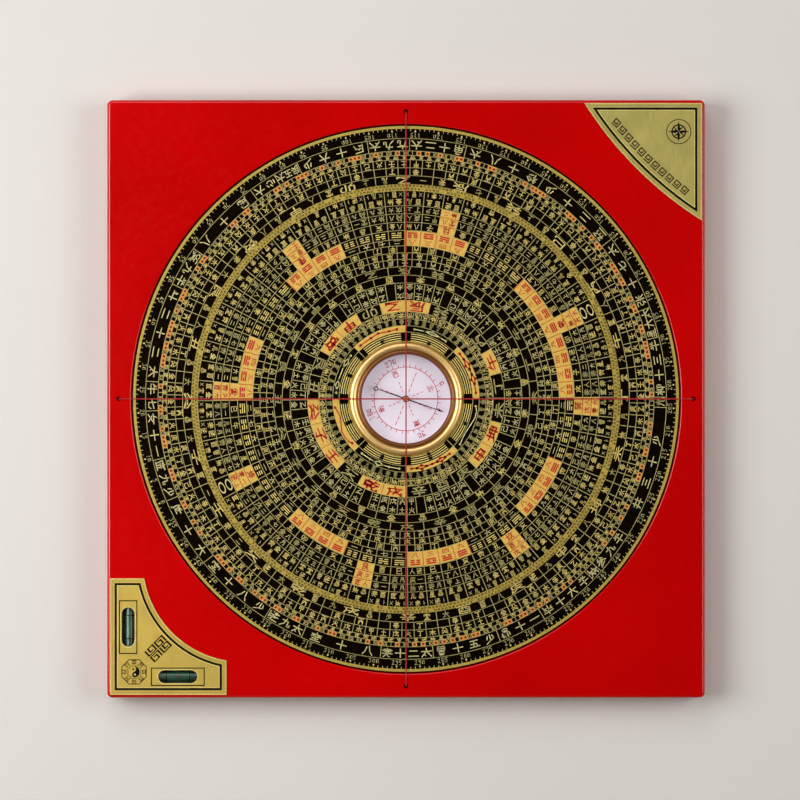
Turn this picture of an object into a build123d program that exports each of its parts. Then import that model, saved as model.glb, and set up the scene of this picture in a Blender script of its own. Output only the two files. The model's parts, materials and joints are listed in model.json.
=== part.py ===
from build123d import *
import os
from math import pi, sqrt

# A feng shui compass: a turning dial in a square board, with a magnetic compass in the dial's centre.
# Millimetres. The board lies flat, face up. +X is to the right and +Y to the top of the face.
# The origin is on the underside, at the centre of the board, which is also the axis of the dial.

# Board: its thickness follows from what lies in it, the rim width is the wood beside the recess
BOARD_SIDE = 286.0
BOARD_RIM_WIDTH = 11.6
BOARD_CORNER_RADIUS = 2.6
BOARD_EDGE_ROUND = 1.5
BOARD_FOOT_CHAMFER = 0.8
BUSH_SEAT_THICKNESS = 2.8
RECESS_RIM_ROUND = 0.8

# Dial
DIAL_RIM_GAP = 0.5
DIAL_DROP = 0.7
DISC_THICKNESS = 8.3
DISC_FOOT_CHAMFER = 0.6
FACEPLATE_THICKNESS = 0.8
FACEPLATE_EDGE_CHAMFER = 0.3

# Glide: the bush's flange at the middle and a ring near the rim carry the dial
GLIDE_HEIGHT = 0.9
GLIDE_GAP = 0.1
GLIDE_RING_INSET = 14.9
GLIDE_RING_WIDTH = 8.0
GLIDE_GROOVE_DEPTH = 0.6

# Journal, bush and retainer under the dial
JOURNAL_RADIUS = 15.0
JOURNAL_WALL = 2.5
JOURNAL_CLEARANCE = 0.05
JOURNAL_LIP = 1.0
JOURNAL_FOOT_GAP = 1.2
BUSH_WALL = 2.0
BUSH_FLANGE_OVERLAP = 2.2
RETAINER_POCKET_WIDTH = 6.5
WASHER_EDGE_GAP = 1.1
WASHER_THICKNESS = 0.8
SNAP_RING_THICKNESS = 1.2
SNAP_RING_WIDTH = 2.0
SNAP_RING_OPENING_DEG = 44.0
SNAP_RING_LUG_RADIUS = 1.9
SNAP_RING_HOLE_RADIUS = 0.8
SNAP_GROOVE_DEPTH = 0.7
SNAP_GROOVE_PLAY = 0.05

# Compass case, bezel, glass and gasket
CHAMBER_RADIUS = 22.2
CASE_WALL = 1.6
CASE_FLOOR = 1.5
CASE_MOUTH_WALL = 1.3
CASE_FLANGE_WIDTH = 1.1
SHOULDER_DEPTH = 1.2
SHOULDER_THICKNESS = 1.4
GASKET_THICKNESS = 0.6
GASKET_OVERHANG = 0.9
GLASS_THICKNESS = 1.4
GLASS_SEAT_WIDTH = 0.8
BEZEL_SKIRT_WALL = 1.36
BEZEL_LIP_OVERLAP = 1.3
BEZEL_OVERHANG = 0.6
BEZEL_HEIGHT = 2.5
BEZEL_FOOT_HEIGHT = 0.6
BEZEL_DOME_WIDTH = 4.1
BEZEL_GROOVE_HEIGHT = 1.2
BEZEL_LIP_HEIGHT = 1.7
BEZEL_LIP_EDGE_HEIGHT = 1.35
BEZEL_SKIRT_PLAY = 0.1

# Card, pivot and needle
CARD_THICKNESS = 0.6
PIVOT_STEM_RADIUS = 0.8
PIVOT_COLLAR_RADIUS = 1.5
PIVOT_COLLAR_HEIGHT = 0.5
PIVOT_NECK_RADIUS = 0.35
PIVOT_TAPER_HEIGHT = 1.6
PIVOT_CONE_HEIGHT = 0.8
PIVOT_TIP_RADIUS = 0.06
PIVOT_REACH = 4.0
JEWEL_THICKNESS = 0.7
JEWEL_DIMPLE_DEPTH = 0.33
JEWEL_DIMPLE_RADIUS = 0.4
JEWEL_PLAY = 0.08
CAP_BORE_RADIUS = 0.6
CAP_NECK_WALL = 0.3
CAP_NECK_LENGTH = 0.5
CAP_RADIUS = 1.2
CAP_CROWN_HEIGHT = 0.5
CAP_CROWN_RADIUS = 0.7
NEEDLE_THICKNESS = 0.3
NEEDLE_BELOW_TIP = 0.9
NEEDLE_ANGLE_DEG = -19.0
NEEDLE_TIP_GAP = 3.0
NEEDLE_TAIL_GAP = 4.8
NEEDLE_HEAD_LENGTH = 3.4
NEEDLE_HEAD_WIDEST = 2.3
NEEDLE_HEAD_WIDTH = 1.0
NEEDLE_SHANK_WIDTH = 0.6
NEEDLE_WAIST_WIDTH = 0.34
NEEDLE_EYE_RADIUS = 1.6
NEEDLE_RING_RADIUS = 1.15
NEEDLE_RING_WALL = 0.45
NEEDLE_TAIL_POINT = 2.2
NEEDLE_HORN_SPAN = 3.5
NEEDLE_HORN_SWEEP = 0.7
NEEDLE_HORN_WIDTH = 0.6

# Plates on the board's face
PLATE_MARGIN = 1.5
PLATE_THICKNESS = 0.8
PLATE_EDGE_CHAMFER = 0.25
LEVEL_PLATE_SIDE = 55.7
LEVEL_PLATE_END = 16.4
LEVEL_PLATE_ARC_RADIUS = 48.0
CORNER_PLATE_SIDE = 56.3
CORNER_PLATE_ARC_RADIUS = 180.0
WINDOW_LENGTH = 18.6
WINDOW_WIDTH = 6.1
WINDOW_INSET = 8.65
WINDOW_REACH = 32.4

# Level vials in the board, under the windows
VIAL_RADIUS = 2.6
VIAL_LENGTH = 20.6
VIAL_END_ROUND = 0.5
VIAL_DROP = 0.15
VIAL_END_WALL = 0.7
VIAL_MIDDLE_WALL = 0.45
VIAL_Y_SHIFT = 0.5
PLUG_LENGTH = 3.2
BAND_REACH = 5.6
BAND_WIDTH = 0.5
BAND_THICKNESS = 0.08
POCKET_WIDTH = 6.8
POCKET_END_PLAY = 0.4
CRADLE_CLEARANCE = 0.03

# Cross threads and their holes
THREAD_RADIUS = 0.3
THREAD_HOLE_INSET = 5.5
THREAD_HOLE_RADIUS = 1.0
THREAD_HOLE_CHAMFER = 0.3
THREAD_GAP = 0.12
THREAD_BEND_RADIUS = 0.9
THREAD_REST_RADIUS = 20.0
KNOT_RADIUS = 1.3
KNOT_TAIL = 1.2
KNOT_POCKET_PLAY = 1.3
KNOT_FOOT_GAP = 0.78

# Clearance of a piece that is seated for good, and how far a cutter runs past its face
SEAT_CLEARANCE = 0.02
OVERRUN = 1.0

# Radii and reaches that follow from the sizes above
RECESS_RADIUS = BOARD_SIDE / 2 - BOARD_RIM_WIDTH
DIAL_RADIUS = RECESS_RADIUS - DIAL_RIM_GAP
GLIDE_RING_RADIUS = DIAL_RADIUS - GLIDE_RING_INSET
THREAD_HOLE_REACH = BOARD_SIDE / 2 - THREAD_HOLE_INSET
BUSH_BORE_RADIUS = JOURNAL_RADIUS + JOURNAL_CLEARANCE
BUSH_SLEEVE_RADIUS = BUSH_BORE_RADIUS + BUSH_WALL
RETAINER_POCKET_RADIUS = JOURNAL_RADIUS + RETAINER_POCKET_WIDTH
WASHER_RADIUS = RETAINER_POCKET_RADIUS - WASHER_EDGE_GAP
GROOVE_RADIUS = JOURNAL_RADIUS - SNAP_GROOVE_DEPTH
CUP_RADIUS = CHAMBER_RADIUS + CASE_WALL
BUSH_FLANGE_RADIUS = CUP_RADIUS + BUSH_FLANGE_OVERLAP
GASKET_INNER_RADIUS = CHAMBER_RADIUS - GASKET_OVERHANG
GLASS_RADIUS = CHAMBER_RADIUS + GLASS_SEAT_WIDTH
CASE_MOUTH_RADIUS = GLASS_RADIUS + BEZEL_SKIRT_WALL + 2 * SEAT_CLEARANCE
MOUTH_OUTER_RADIUS = CASE_MOUTH_RADIUS + CASE_MOUTH_WALL
CASE_FLANGE_RADIUS = MOUTH_OUTER_RADIUS + CASE_FLANGE_WIDTH
BEZEL_OUTER_RADIUS = CASE_FLANGE_RADIUS + BEZEL_OVERHANG
BEZEL_INNER_RADIUS = GLASS_RADIUS - BEZEL_LIP_OVERLAP
NEEDLE_TIP_REACH = CHAMBER_RADIUS - NEEDLE_TIP_GAP
NEEDLE_RING_REACH = CHAMBER_RADIUS - NEEDLE_TAIL_GAP - NEEDLE_TAIL_POINT
CAP_NECK_RADIUS = CAP_BORE_RADIUS + CAP_NECK_WALL
VIAL_BORE_END_RADIUS = VIAL_RADIUS - VIAL_END_WALL
VIAL_BORE_MIDDLE_RADIUS = VIAL_RADIUS - VIAL_MIDDLE_WALL
KNOT_POCKET_RADIUS = KNOT_RADIUS + KNOT_POCKET_PLAY

# Heights that follow from the sizes above, from the underside of the board upwards
JOURNAL_END_Z = JOURNAL_FOOT_GAP
SNAP_RING_UNDER_Z = JOURNAL_END_Z + JOURNAL_LIP + SNAP_GROOVE_PLAY
SNAP_RING_TOP_Z = SNAP_RING_UNDER_Z + SNAP_RING_THICKNESS
WASHER_UNDER_Z = SNAP_RING_TOP_Z + SNAP_GROOVE_PLAY
WASHER_TOP_Z = WASHER_UNDER_Z + WASHER_THICKNESS
RETAINER_POCKET_DEPTH = WASHER_TOP_Z + GLIDE_GAP
FLOOR_Z = RETAINER_POCKET_DEPTH + BUSH_SEAT_THICKNESS
GLIDE_TOP_Z = FLOOR_Z + GLIDE_HEIGHT
DIAL_UNDER_Z = GLIDE_TOP_Z + GLIDE_GAP
DISC_TOP_Z = DIAL_UNDER_Z + DISC_THICKNESS
FACE_Z = DISC_TOP_Z + FACEPLATE_THICKNESS
BOARD_THICKNESS = FACE_Z + DIAL_DROP
SHOULDER_Z = FACE_Z - SHOULDER_DEPTH
CASE_STEP_Z = SHOULDER_Z - SHOULDER_THICKNESS
GLASS_UNDER_Z = SHOULDER_Z + GASKET_THICKNESS
GLASS_TOP_Z = GLASS_UNDER_Z + GLASS_THICKNESS
CARD_UNDER_Z = DIAL_UNDER_Z + CASE_FLOOR
CARD_TOP_Z = CARD_UNDER_Z + CARD_THICKNESS
PIVOT_TIP_Z = CARD_TOP_Z + PIVOT_REACH
NEEDLE_UNDER_Z = PIVOT_TIP_Z - NEEDLE_BELOW_TIP
JEWEL_UNDER_Z = PIVOT_TIP_Z + JEWEL_PLAY - JEWEL_DIMPLE_DEPTH
JEWEL_TOP_Z = JEWEL_UNDER_Z + JEWEL_THICKNESS
VIAL_AXIS_Z = BOARD_THICKNESS - VIAL_DROP - VIAL_RADIUS
KNOT_Z = KNOT_FOOT_GAP + KNOT_TAIL + KNOT_RADIUS
KNOT_POCKET_DEPTH = KNOT_Z + KNOT_RADIUS + SEAT_CLEARANCE

UPRIGHT = (Align.CENTER, Align.CENTER, Align.MIN)


def post(radius, bottom, top, x=0, y=0):
    """Upright cylinder between two heights."""
    return Pos(x, y, bottom) * Cylinder(radius, top - bottom, align=UPRIGHT)


def ring(inner, outer, bottom, top):
    """Flat ring round the dial's axis."""
    return post(outer, bottom, top) - post(inner, bottom - OVERRUN, top + OVERRUN)


def lying(radius, length):
    """Cylinder along X, about the origin."""
    return Rot(0, 90, 0) * Cylinder(radius, length)


def section(*edges):
    """Face inside a closed run of edges, drawn in the XY plane."""
    return make_face(Curve() + list(edges))


def turned(*edges):
    """Piece turned about the dial's axis, from edges drawn in (radius, height)."""
    return revolve(Plane.XZ * section(*edges), axis=Axis.Z)


def turned_polygon(*points):
    """Piece turned about the dial's axis, from the corners of its section in (radius, height)."""
    return turned(Polyline(*points, close=True))


def rounded_corner(start, corner, end):
    """Quarter circle from start to end that rounds the square corner between them."""
    first, last, sharp = Vector(*start), Vector(*end), Vector(*corner)
    centre = first + last - sharp
    middle = centre + (sharp - centre).normalized() * (first - centre).length
    return ThreePointArc(start, (middle.X, middle.Y), end)


def bowed_edge(start, end, radius, towards):
    """Arc of a given radius between two points, which bulges towards a third."""
    first, last, side = Vector(*start), Vector(*end), Vector(*towards)
    chord_middle = (first + last) / 2
    half_chord = (last - first).length / 2
    rise = radius - sqrt(radius**2 - half_chord**2)
    middle = chord_middle + (side - chord_middle).normalized() * rise
    return ThreePointArc(start, (middle.X, middle.Y), end)


def window_frames():
    """Places of the plate's two windows at the height of the vials: along X and along Y."""
    corner = -BOARD_SIDE / 2 + PLATE_MARGIN
    along_x = Pos(corner + WINDOW_REACH, corner + WINDOW_INSET, VIAL_AXIS_Z)
    along_y = Pos(corner + WINDOW_INSET, corner + WINDOW_REACH, VIAL_AXIS_Z) * Rot(0, 0, 90)
    return {"x": along_x, "y": along_y}


def vial_frames():
    """Places of the two vials: the one along Y lies a little off its window's middle."""
    windows = window_frames()
    return {"x": windows["x"], "y": windows["y"] * Pos(0, -VIAL_Y_SHIFT, 0)}


def thread_hole_places():
    """Centres of the four thread holes, at the middle of each side."""
    reach = THREAD_HOLE_REACH
    return [(reach, 0), (0, reach), (-reach, 0), (0, -reach)]


def thread_hole(x, y):
    """Cutter for one thread hole, with its chamfered mouth and the knot's pocket underneath."""
    mouth_radius = THREAD_HOLE_RADIUS + THREAD_HOLE_CHAMFER
    mouth = Cone(THREAD_HOLE_RADIUS, mouth_radius, THREAD_HOLE_CHAMFER, align=UPRIGHT)
    mouth = Pos(x, y, BOARD_THICKNESS - THREAD_HOLE_CHAMFER) * mouth
    hole = post(THREAD_HOLE_RADIUS, -OVERRUN, BOARD_THICKNESS + OVERRUN, x, y)
    return mouth + hole + post(KNOT_POCKET_RADIUS, -OVERRUN, KNOT_POCKET_DEPTH, x, y)


def vial_slot():
    """Cutter for the open upper half of a vial's pocket, along X."""
    depth = VIAL_RADIUS + VIAL_DROP
    return Box(VIAL_LENGTH + 2 * POCKET_END_PLAY, POCKET_WIDTH, depth + OVERRUN, align=UPRIGHT)


def vial_cradle():
    """Cutter for the round cradle that holds the lower half of a vial, along X."""
    radius = VIAL_RADIUS + SEAT_CLEARANCE + BAND_THICKNESS + CRADLE_CLEARANCE
    return lying(radius, VIAL_LENGTH + 2 * POCKET_END_PLAY)


def dial_recess():
    """Cutter for the round recess, whose rim is rounded over."""
    radius = RECESS_RADIUS
    mouth_radius = radius + RECESS_RIM_ROUND
    rim_z = BOARD_THICKNESS - RECESS_RIM_ROUND
    open_z = BOARD_THICKNESS + OVERRUN
    return turned(
        Polyline((0, open_z), (0, FLOOR_Z), (radius, FLOOR_Z), (radius, rim_z)),
        rounded_corner((radius, rim_z), (radius, BOARD_THICKNESS), (mouth_radius, BOARD_THICKNESS)),
        Polyline((mouth_radius, BOARD_THICKNESS), (mouth_radius, open_z), (0, open_z)),
    )


def glide_groove():
    """Cutter for the felt ring's groove in the recess floor."""
    half = GLIDE_RING_WIDTH / 2 + SEAT_CLEARANCE
    bottom = FLOOR_Z - GLIDE_GROOVE_DEPTH
    return ring(GLIDE_RING_RADIUS - half, GLIDE_RING_RADIUS + half, bottom, FLOOR_Z + OVERRUN)


def base_board():
    """Square board with the dial's round recess, the bush's seat, the pockets and the holes."""
    board = extrude(RectangleRounded(BOARD_SIDE, BOARD_SIDE, BOARD_CORNER_RADIUS), BOARD_THICKNESS)
    board = fillet(board.faces().sort_by(Axis.Z)[-1].edges(), BOARD_EDGE_ROUND)
    board = chamfer(board.faces().sort_by(Axis.Z)[0].edges(), BOARD_FOOT_CHAMFER)
    board -= dial_recess()
    board -= glide_groove()
    board -= post(BUSH_SLEEVE_RADIUS + SEAT_CLEARANCE, -OVERRUN, FLOOR_Z + OVERRUN)
    board -= post(RETAINER_POCKET_RADIUS, -OVERRUN, RETAINER_POCKET_DEPTH)
    for frame in window_frames().values():
        board -= frame * vial_slot()
    for frame in vial_frames().values():
        board -= frame * vial_cradle()
    for x, y in thread_hole_places():
        board -= thread_hole(x, y)
    return board


def pivot_bush():
    """Flanged bush in the board, in which the dial's journal turns."""
    sleeve = ring(BUSH_BORE_RADIUS, BUSH_SLEEVE_RADIUS, RETAINER_POCKET_DEPTH, GLIDE_TOP_Z)
    return sleeve + ring(BUSH_BORE_RADIUS, BUSH_FLANGE_RADIUS, FLOOR_Z, GLIDE_TOP_Z)


def rim_glide_ring():
    """Felt ring in the floor's groove, as high as the bush's flange."""
    half = GLIDE_RING_WIDTH / 2
    bottom = FLOOR_Z - GLIDE_GROOVE_DEPTH
    return ring(GLIDE_RING_RADIUS - half, GLIDE_RING_RADIUS + half, bottom, GLIDE_TOP_Z)


def plate_from(outline):
    """Thin plate on the board's face, with its upper edges bevelled."""
    plate = Pos(0, 0, BOARD_THICKNESS) * extrude(outline, PLATE_THICKNESS)
    return chamfer(plate.faces().sort_by(Axis.Z)[-1].edges(), PLATE_EDGE_CHAMFER)


def level_plate():
    """Plate over the two vials: a square corner hollowed by an arc on the dial's side."""
    side, end = LEVEL_PLATE_SIDE, LEVEL_PLATE_END
    corner = -BOARD_SIDE / 2 + PLATE_MARGIN
    outline = Pos(corner, corner) * section(
        Polyline((end, side), (0, side), (0, 0), (side, 0), (side, end)),
        bowed_edge((side, end), (end, side), LEVEL_PLATE_ARC_RADIUS, towards=(0, 0)),
    )
    for frame in window_frames().values():
        place = Pos(frame.position.X, frame.position.Y) * Rot(0, 0, frame.orientation.Z)
        outline -= place * SlotOverall(WINDOW_LENGTH, WINDOW_WIDTH)
    return plate_from(outline)


def corner_plate():
    """Plate at the opposite corner, whose third side bulges towards the dial."""
    side = CORNER_PLATE_SIDE
    corner = BOARD_SIDE / 2 - PLATE_MARGIN
    outline = section(
        Polyline((-side, 0), (0, 0), (0, -side)),
        bowed_edge((0, -side), (-side, 0), CORNER_PLATE_ARC_RADIUS, towards=(-side, -side)),
    )
    return plate_from(Pos(corner, corner) * outline)


def level_vial():
    """Clear vial along X: a round tube whose bore swells to a barrel at the middle."""
    half, soft = VIAL_LENGTH / 2, VIAL_END_ROUND
    outer, bore = VIAL_RADIUS, VIAL_BORE_END_RADIUS
    tube = section(
        ThreePointArc((half, bore), (0, VIAL_BORE_MIDDLE_RADIUS), (-half, bore)),
        Line((-half, bore), (-half, outer - soft)),
        rounded_corner((-half, outer - soft), (-half, outer), (-half + soft, outer)),
        Line((-half + soft, outer), (half - soft, outer)),
        rounded_corner((half - soft, outer), (half, outer), (half, outer - soft)),
        Line((half, outer - soft), (half, bore)),
    )
    return revolve(tube, axis=Axis.X)


def vial_plugs():
    """The two end plugs of a vial along X."""
    plug = lying(VIAL_BORE_END_RADIUS - SEAT_CLEARANCE, PLUG_LENGTH)
    reach = (VIAL_LENGTH - PLUG_LENGTH) / 2
    return Pos(reach, 0, 0) * plug + Pos(-reach, 0, 0) * plug


def vial_bands():
    """The two graduation bands round a vial along X."""
    inner = VIAL_RADIUS + SEAT_CLEARANCE
    band = lying(inner + BAND_THICKNESS, BAND_WIDTH) - lying(inner, BAND_WIDTH + OVERRUN)
    return Pos(BAND_REACH, 0, 0) * band + Pos(-BAND_REACH, 0, 0) * band


def thread_route(crest):
    """Half of a taut thread's route as (distance along, height): knot, rim of the hole, crest."""
    rim_z = BOARD_THICKNESS + THREAD_GAP + THREAD_RADIUS
    return [(-THREAD_HOLE_REACH, KNOT_FOOT_GAP), (-THREAD_HOLE_REACH, rim_z), crest]


def lower_thread_route():
    """Route of the thread that lies on the bezel."""
    bezel_crest_radius = BEZEL_OUTER_RADIUS - BEZEL_DOME_WIDTH / 2
    half = thread_route((-bezel_crest_radius, lower_thread_z()))
    return half + [(-along, height) for along, height in reversed(half)]


def upper_thread_route():
    """Route of the thread that lies on the other one where they cross."""
    half = thread_route((0, lower_thread_z() + 2 * THREAD_RADIUS + THREAD_GAP))
    return half + [(-along, height) for along, height in reversed(half[:-1])]


def lower_thread_z():
    """Height of the lower thread's middle where it lies over the bezel."""
    return FACE_Z + BEZEL_HEIGHT + THREAD_GAP + THREAD_RADIUS


def cross_thread(route):
    """Taut thread along X with a knot near each end, swept along straight runs and arcs."""
    radii = [THREAD_BEND_RADIUS] + [THREAD_REST_RADIUS] * len(route[2:-2]) + [THREAD_BEND_RADIUS]
    path = FilletPolyline(*[(along, 0, height) for along, height in route], radius=radii)
    tube = sweep(Pos(route[0][0], 0, route[0][1]) * Circle(THREAD_RADIUS), path=path)
    print("thread: length", round(path.length, 1), "bends", radii)
    by_length = path.length * pi * THREAD_RADIUS**2
    print("    volume by its length", round(by_length, 2), "swept", round(tube.volume, 2))
    for along in (-THREAD_HOLE_REACH, THREAD_HOLE_REACH):
        tube += Pos(along, 0, KNOT_Z) * Sphere(KNOT_RADIUS)
    return tube


def dial_disc():
    """Disc of the dial, bored and stepped for the compass case."""
    bore = CUP_RADIUS + SEAT_CLEARANCE
    counterbore = MOUTH_OUTER_RADIUS + SEAT_CLEARANCE
    step_z = CASE_STEP_Z - SEAT_CLEARANCE
    return turned_polygon(
        (bore, DIAL_UNDER_Z),
        (DIAL_RADIUS - DISC_FOOT_CHAMFER, DIAL_UNDER_Z),
        (DIAL_RADIUS, DIAL_UNDER_Z + DISC_FOOT_CHAMFER),
        (DIAL_RADIUS, DISC_TOP_Z),
        (counterbore, DISC_TOP_Z),
        (counterbore, step_z),
        (bore, step_z),
    )


def dial_faceplate():
    """Printed plate that covers the disc round the case's flange."""
    inner = CASE_FLANGE_RADIUS + SEAT_CLEARANCE
    return turned_polygon(
        (inner, DISC_TOP_Z),
        (DIAL_RADIUS, DISC_TOP_Z),
        (DIAL_RADIUS, FACE_Z - FACEPLATE_EDGE_CHAMFER),
        (DIAL_RADIUS - FACEPLATE_EDGE_CHAMFER, FACE_Z),
        (inner, FACE_Z),
    )


def compass_case():
    """Flanged cup with a stepped mouth, whose hollow foot is the dial's grooved journal."""
    stem_hole = PIVOT_STEM_RADIUS + SEAT_CLEARANCE
    hollow = JOURNAL_RADIUS - JOURNAL_WALL
    groove_top_z = SNAP_RING_TOP_Z + SNAP_GROOVE_PLAY
    groove_under_z = SNAP_RING_UNDER_Z - SNAP_GROOVE_PLAY
    return turned_polygon(
        (CASE_MOUTH_RADIUS, FACE_Z),
        (CASE_FLANGE_RADIUS, FACE_Z),
        (CASE_FLANGE_RADIUS, DISC_TOP_Z),
        (MOUTH_OUTER_RADIUS, DISC_TOP_Z),
        (MOUTH_OUTER_RADIUS, CASE_STEP_Z),
        (CUP_RADIUS, CASE_STEP_Z),
        (CUP_RADIUS, DIAL_UNDER_Z),
        (JOURNAL_RADIUS, DIAL_UNDER_Z),
        (JOURNAL_RADIUS, groove_top_z),
        (GROOVE_RADIUS, groove_top_z),
        (GROOVE_RADIUS, groove_under_z),
        (JOURNAL_RADIUS, groove_under_z),
        (JOURNAL_RADIUS, JOURNAL_END_Z),
        (hollow, JOURNAL_END_Z),
        (hollow, DIAL_UNDER_Z),
        (stem_hole, DIAL_UNDER_Z),
        (stem_hole, CARD_UNDER_Z),
        (CHAMBER_RADIUS, CARD_UNDER_Z),
        (CHAMBER_RADIUS, SHOULDER_Z),
        (CASE_MOUTH_RADIUS, SHOULDER_Z),
    )


def glass_gasket():
    """Flat gasket between the case's shoulder and the glass."""
    return ring(GASKET_INNER_RADIUS, GLASS_RADIUS, SHOULDER_Z, GLASS_UNDER_Z)


def compass_glass():
    """Flat glass over the compass, held down by the bezel's lip."""
    return post(GLASS_RADIUS, GLASS_UNDER_Z, GLASS_TOP_Z)


def compass_bezel():
    """Turned ring: a domed rim, a groove, a rounded lip over the glass and a skirt in the case."""
    crest = BEZEL_OUTER_RADIUS - BEZEL_DOME_WIDTH / 2
    groove = BEZEL_OUTER_RADIUS - BEZEL_DOME_WIDTH
    lip = (groove + BEZEL_INNER_RADIUS) / 2
    skirt_inner = GLASS_RADIUS + SEAT_CLEARANCE
    skirt_outer = CASE_MOUTH_RADIUS - SEAT_CLEARANCE
    skirt_z = SHOULDER_Z + BEZEL_SKIRT_PLAY
    groove_z = FACE_Z + BEZEL_GROOVE_HEIGHT
    lip_edge_z = FACE_Z + BEZEL_LIP_EDGE_HEIGHT
    foot = (BEZEL_OUTER_RADIUS, FACE_Z + BEZEL_FOOT_HEIGHT)
    return turned(
        ThreePointArc(foot, (crest, FACE_Z + BEZEL_HEIGHT), (groove, groove_z)),
        ThreePointArc((groove, groove_z), (lip, FACE_Z + BEZEL_LIP_HEIGHT), (BEZEL_INNER_RADIUS, lip_edge_z)),
        Polyline(
            (BEZEL_INNER_RADIUS, lip_edge_z),
            (BEZEL_INNER_RADIUS, GLASS_TOP_Z),
            (skirt_inner, GLASS_TOP_Z),
            (skirt_inner, skirt_z),
            (skirt_outer, skirt_z),
            (skirt_outer, FACE_Z),
            (BEZEL_OUTER_RADIUS, FACE_Z),
            foot,
        ),
    )


def compass_card():
    """Thin round card on the case's floor, held down by the pivot's collar."""
    return ring(PIVOT_STEM_RADIUS + SEAT_CLEARANCE, CHAMBER_RADIUS - SEAT_CLEARANCE, CARD_UNDER_Z, CARD_TOP_Z)


def needle_pivot():
    """Post in the case's floor with a collar, a slim neck and a sharp point."""
    collar_top_z = CARD_TOP_Z + PIVOT_COLLAR_HEIGHT
    return turned_polygon(
        (0, DIAL_UNDER_Z),
        (PIVOT_STEM_RADIUS, DIAL_UNDER_Z),
        (PIVOT_STEM_RADIUS, CARD_TOP_Z),
        (PIVOT_COLLAR_RADIUS, CARD_TOP_Z),
        (PIVOT_COLLAR_RADIUS, collar_top_z),
        (PIVOT_STEM_RADIUS, collar_top_z),
        (PIVOT_NECK_RADIUS, collar_top_z + PIVOT_TAPER_HEIGHT),
        (PIVOT_NECK_RADIUS, PIVOT_TIP_Z - PIVOT_CONE_HEIGHT),
        (PIVOT_TIP_RADIUS, PIVOT_TIP_Z),
        (0, PIVOT_TIP_Z),
    )


def needle_jewel():
    """Jewel in the cap's bore, with the dimple that rides on the point."""
    radius = CAP_BORE_RADIUS - SEAT_CLEARANCE
    return turned_polygon(
        (0, JEWEL_UNDER_Z + JEWEL_DIMPLE_DEPTH),
        (JEWEL_DIMPLE_RADIUS, JEWEL_UNDER_Z),
        (radius, JEWEL_UNDER_Z),
        (radius, JEWEL_TOP_Z),
        (0, JEWEL_TOP_Z),
    )


def needle_cap():
    """Turned hub: a neck through the needle's eye, a shoulder on it and a coned crown."""
    shoulder_z = NEEDLE_UNDER_Z + NEEDLE_THICKNESS
    neck_z = NEEDLE_UNDER_Z - CAP_NECK_LENGTH
    return turned_polygon(
        (CAP_BORE_RADIUS, neck_z),
        (CAP_NECK_RADIUS, neck_z),
        (CAP_NECK_RADIUS, shoulder_z),
        (CAP_RADIUS, shoulder_z),
        (CAP_RADIUS, JEWEL_TOP_Z),
        (CAP_CROWN_RADIUS, JEWEL_TOP_Z + CAP_CROWN_HEIGHT),
        (0, JEWEL_TOP_Z + CAP_CROWN_HEIGHT),
        (0, JEWEL_TOP_Z),
        (CAP_BORE_RADIUS, JEWEL_TOP_Z),
    )


def needle_blade():
    """Flat steel needle: a lozenge point, a tapered shank with an eye, and a horned ring as tail."""
    shank, waist = NEEDLE_SHANK_WIDTH / 2, NEEDLE_WAIST_WIDTH / 2
    head_back = NEEDLE_TIP_REACH - NEEDLE_HEAD_LENGTH
    head_wide = NEEDLE_TIP_REACH - NEEDLE_HEAD_WIDEST
    ring_front = NEEDLE_RING_REACH - NEEDLE_RING_RADIUS + NEEDLE_RING_WALL / 2
    upper_side = [
        (NEEDLE_TIP_REACH, 0),
        (head_wide, NEEDLE_HEAD_WIDTH / 2),
        (head_back, waist),
        (0, shank),
        (-ring_front, waist),
    ]
    lower_side = [(x, -y) for x, y in reversed(upper_side[1:])]
    blade = make_face(Polyline(*upper_side, *lower_side, close=True)) + Circle(NEEDLE_EYE_RADIUS)
    blade -= Circle(CAP_NECK_RADIUS + SEAT_CLEARANCE)

    half_horn, span = NEEDLE_HORN_WIDTH / 2, NEEDLE_HORN_SPAN / 2
    tail_point = [(0, half_horn), (-NEEDLE_TAIL_POINT, 0), (0, -half_horn)]
    tail = Circle(NEEDLE_RING_RADIUS) + make_face(Polyline(*tail_point, close=True))
    for side in (-span, span):
        horn = [(half_horn, 0), (-half_horn, 0), (-NEEDLE_HORN_SWEEP, side)]
        tail += make_face(Polyline(*horn, close=True))
    tail -= Circle(NEEDLE_RING_RADIUS - NEEDLE_RING_WALL)
    blade += Pos(-NEEDLE_RING_REACH, 0) * tail
    return Pos(0, 0, NEEDLE_UNDER_Z) * Rot(0, 0, NEEDLE_ANGLE_DEG) * extrude(blade, NEEDLE_THICKNESS)


def retaining_washer():
    """Flat washer between the board and the snap ring."""
    return ring(JOURNAL_RADIUS + SEAT_CLEARANCE, WASHER_RADIUS, WASHER_UNDER_Z, WASHER_TOP_Z)


def retaining_ring():
    """Open snap ring in the journal's groove, with a lug and a plier hole at each end."""
    inner = GROOVE_RADIUS + SNAP_GROOVE_PLAY
    outer = inner + SNAP_RING_WIDTH
    lug_reach = inner + SNAP_RING_LUG_RADIUS
    half_opening = SNAP_RING_OPENING_DEG / 2
    past = Pos(outer + SNAP_RING_LUG_RADIUS, 0)
    ends = [Rot(0, 0, side * half_opening) for side in (1, -1)]
    opening = [(0, 0)] + [((end * past).position.X, (end * past).position.Y) for end in ends]
    flat = Circle(outer) - make_face(Polyline(*opening, close=True))
    for end in ends:
        flat += end * Pos(lug_reach, 0) * Circle(SNAP_RING_LUG_RADIUS)
    flat -= Circle(inner)
    for end in ends:
        flat -= end * Pos(lug_reach, 0) * Circle(SNAP_RING_HOLE_RADIUS)
    return Pos(0, 0, SNAP_RING_UNDER_Z) * extrude(flat, SNAP_RING_THICKNESS)


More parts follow.
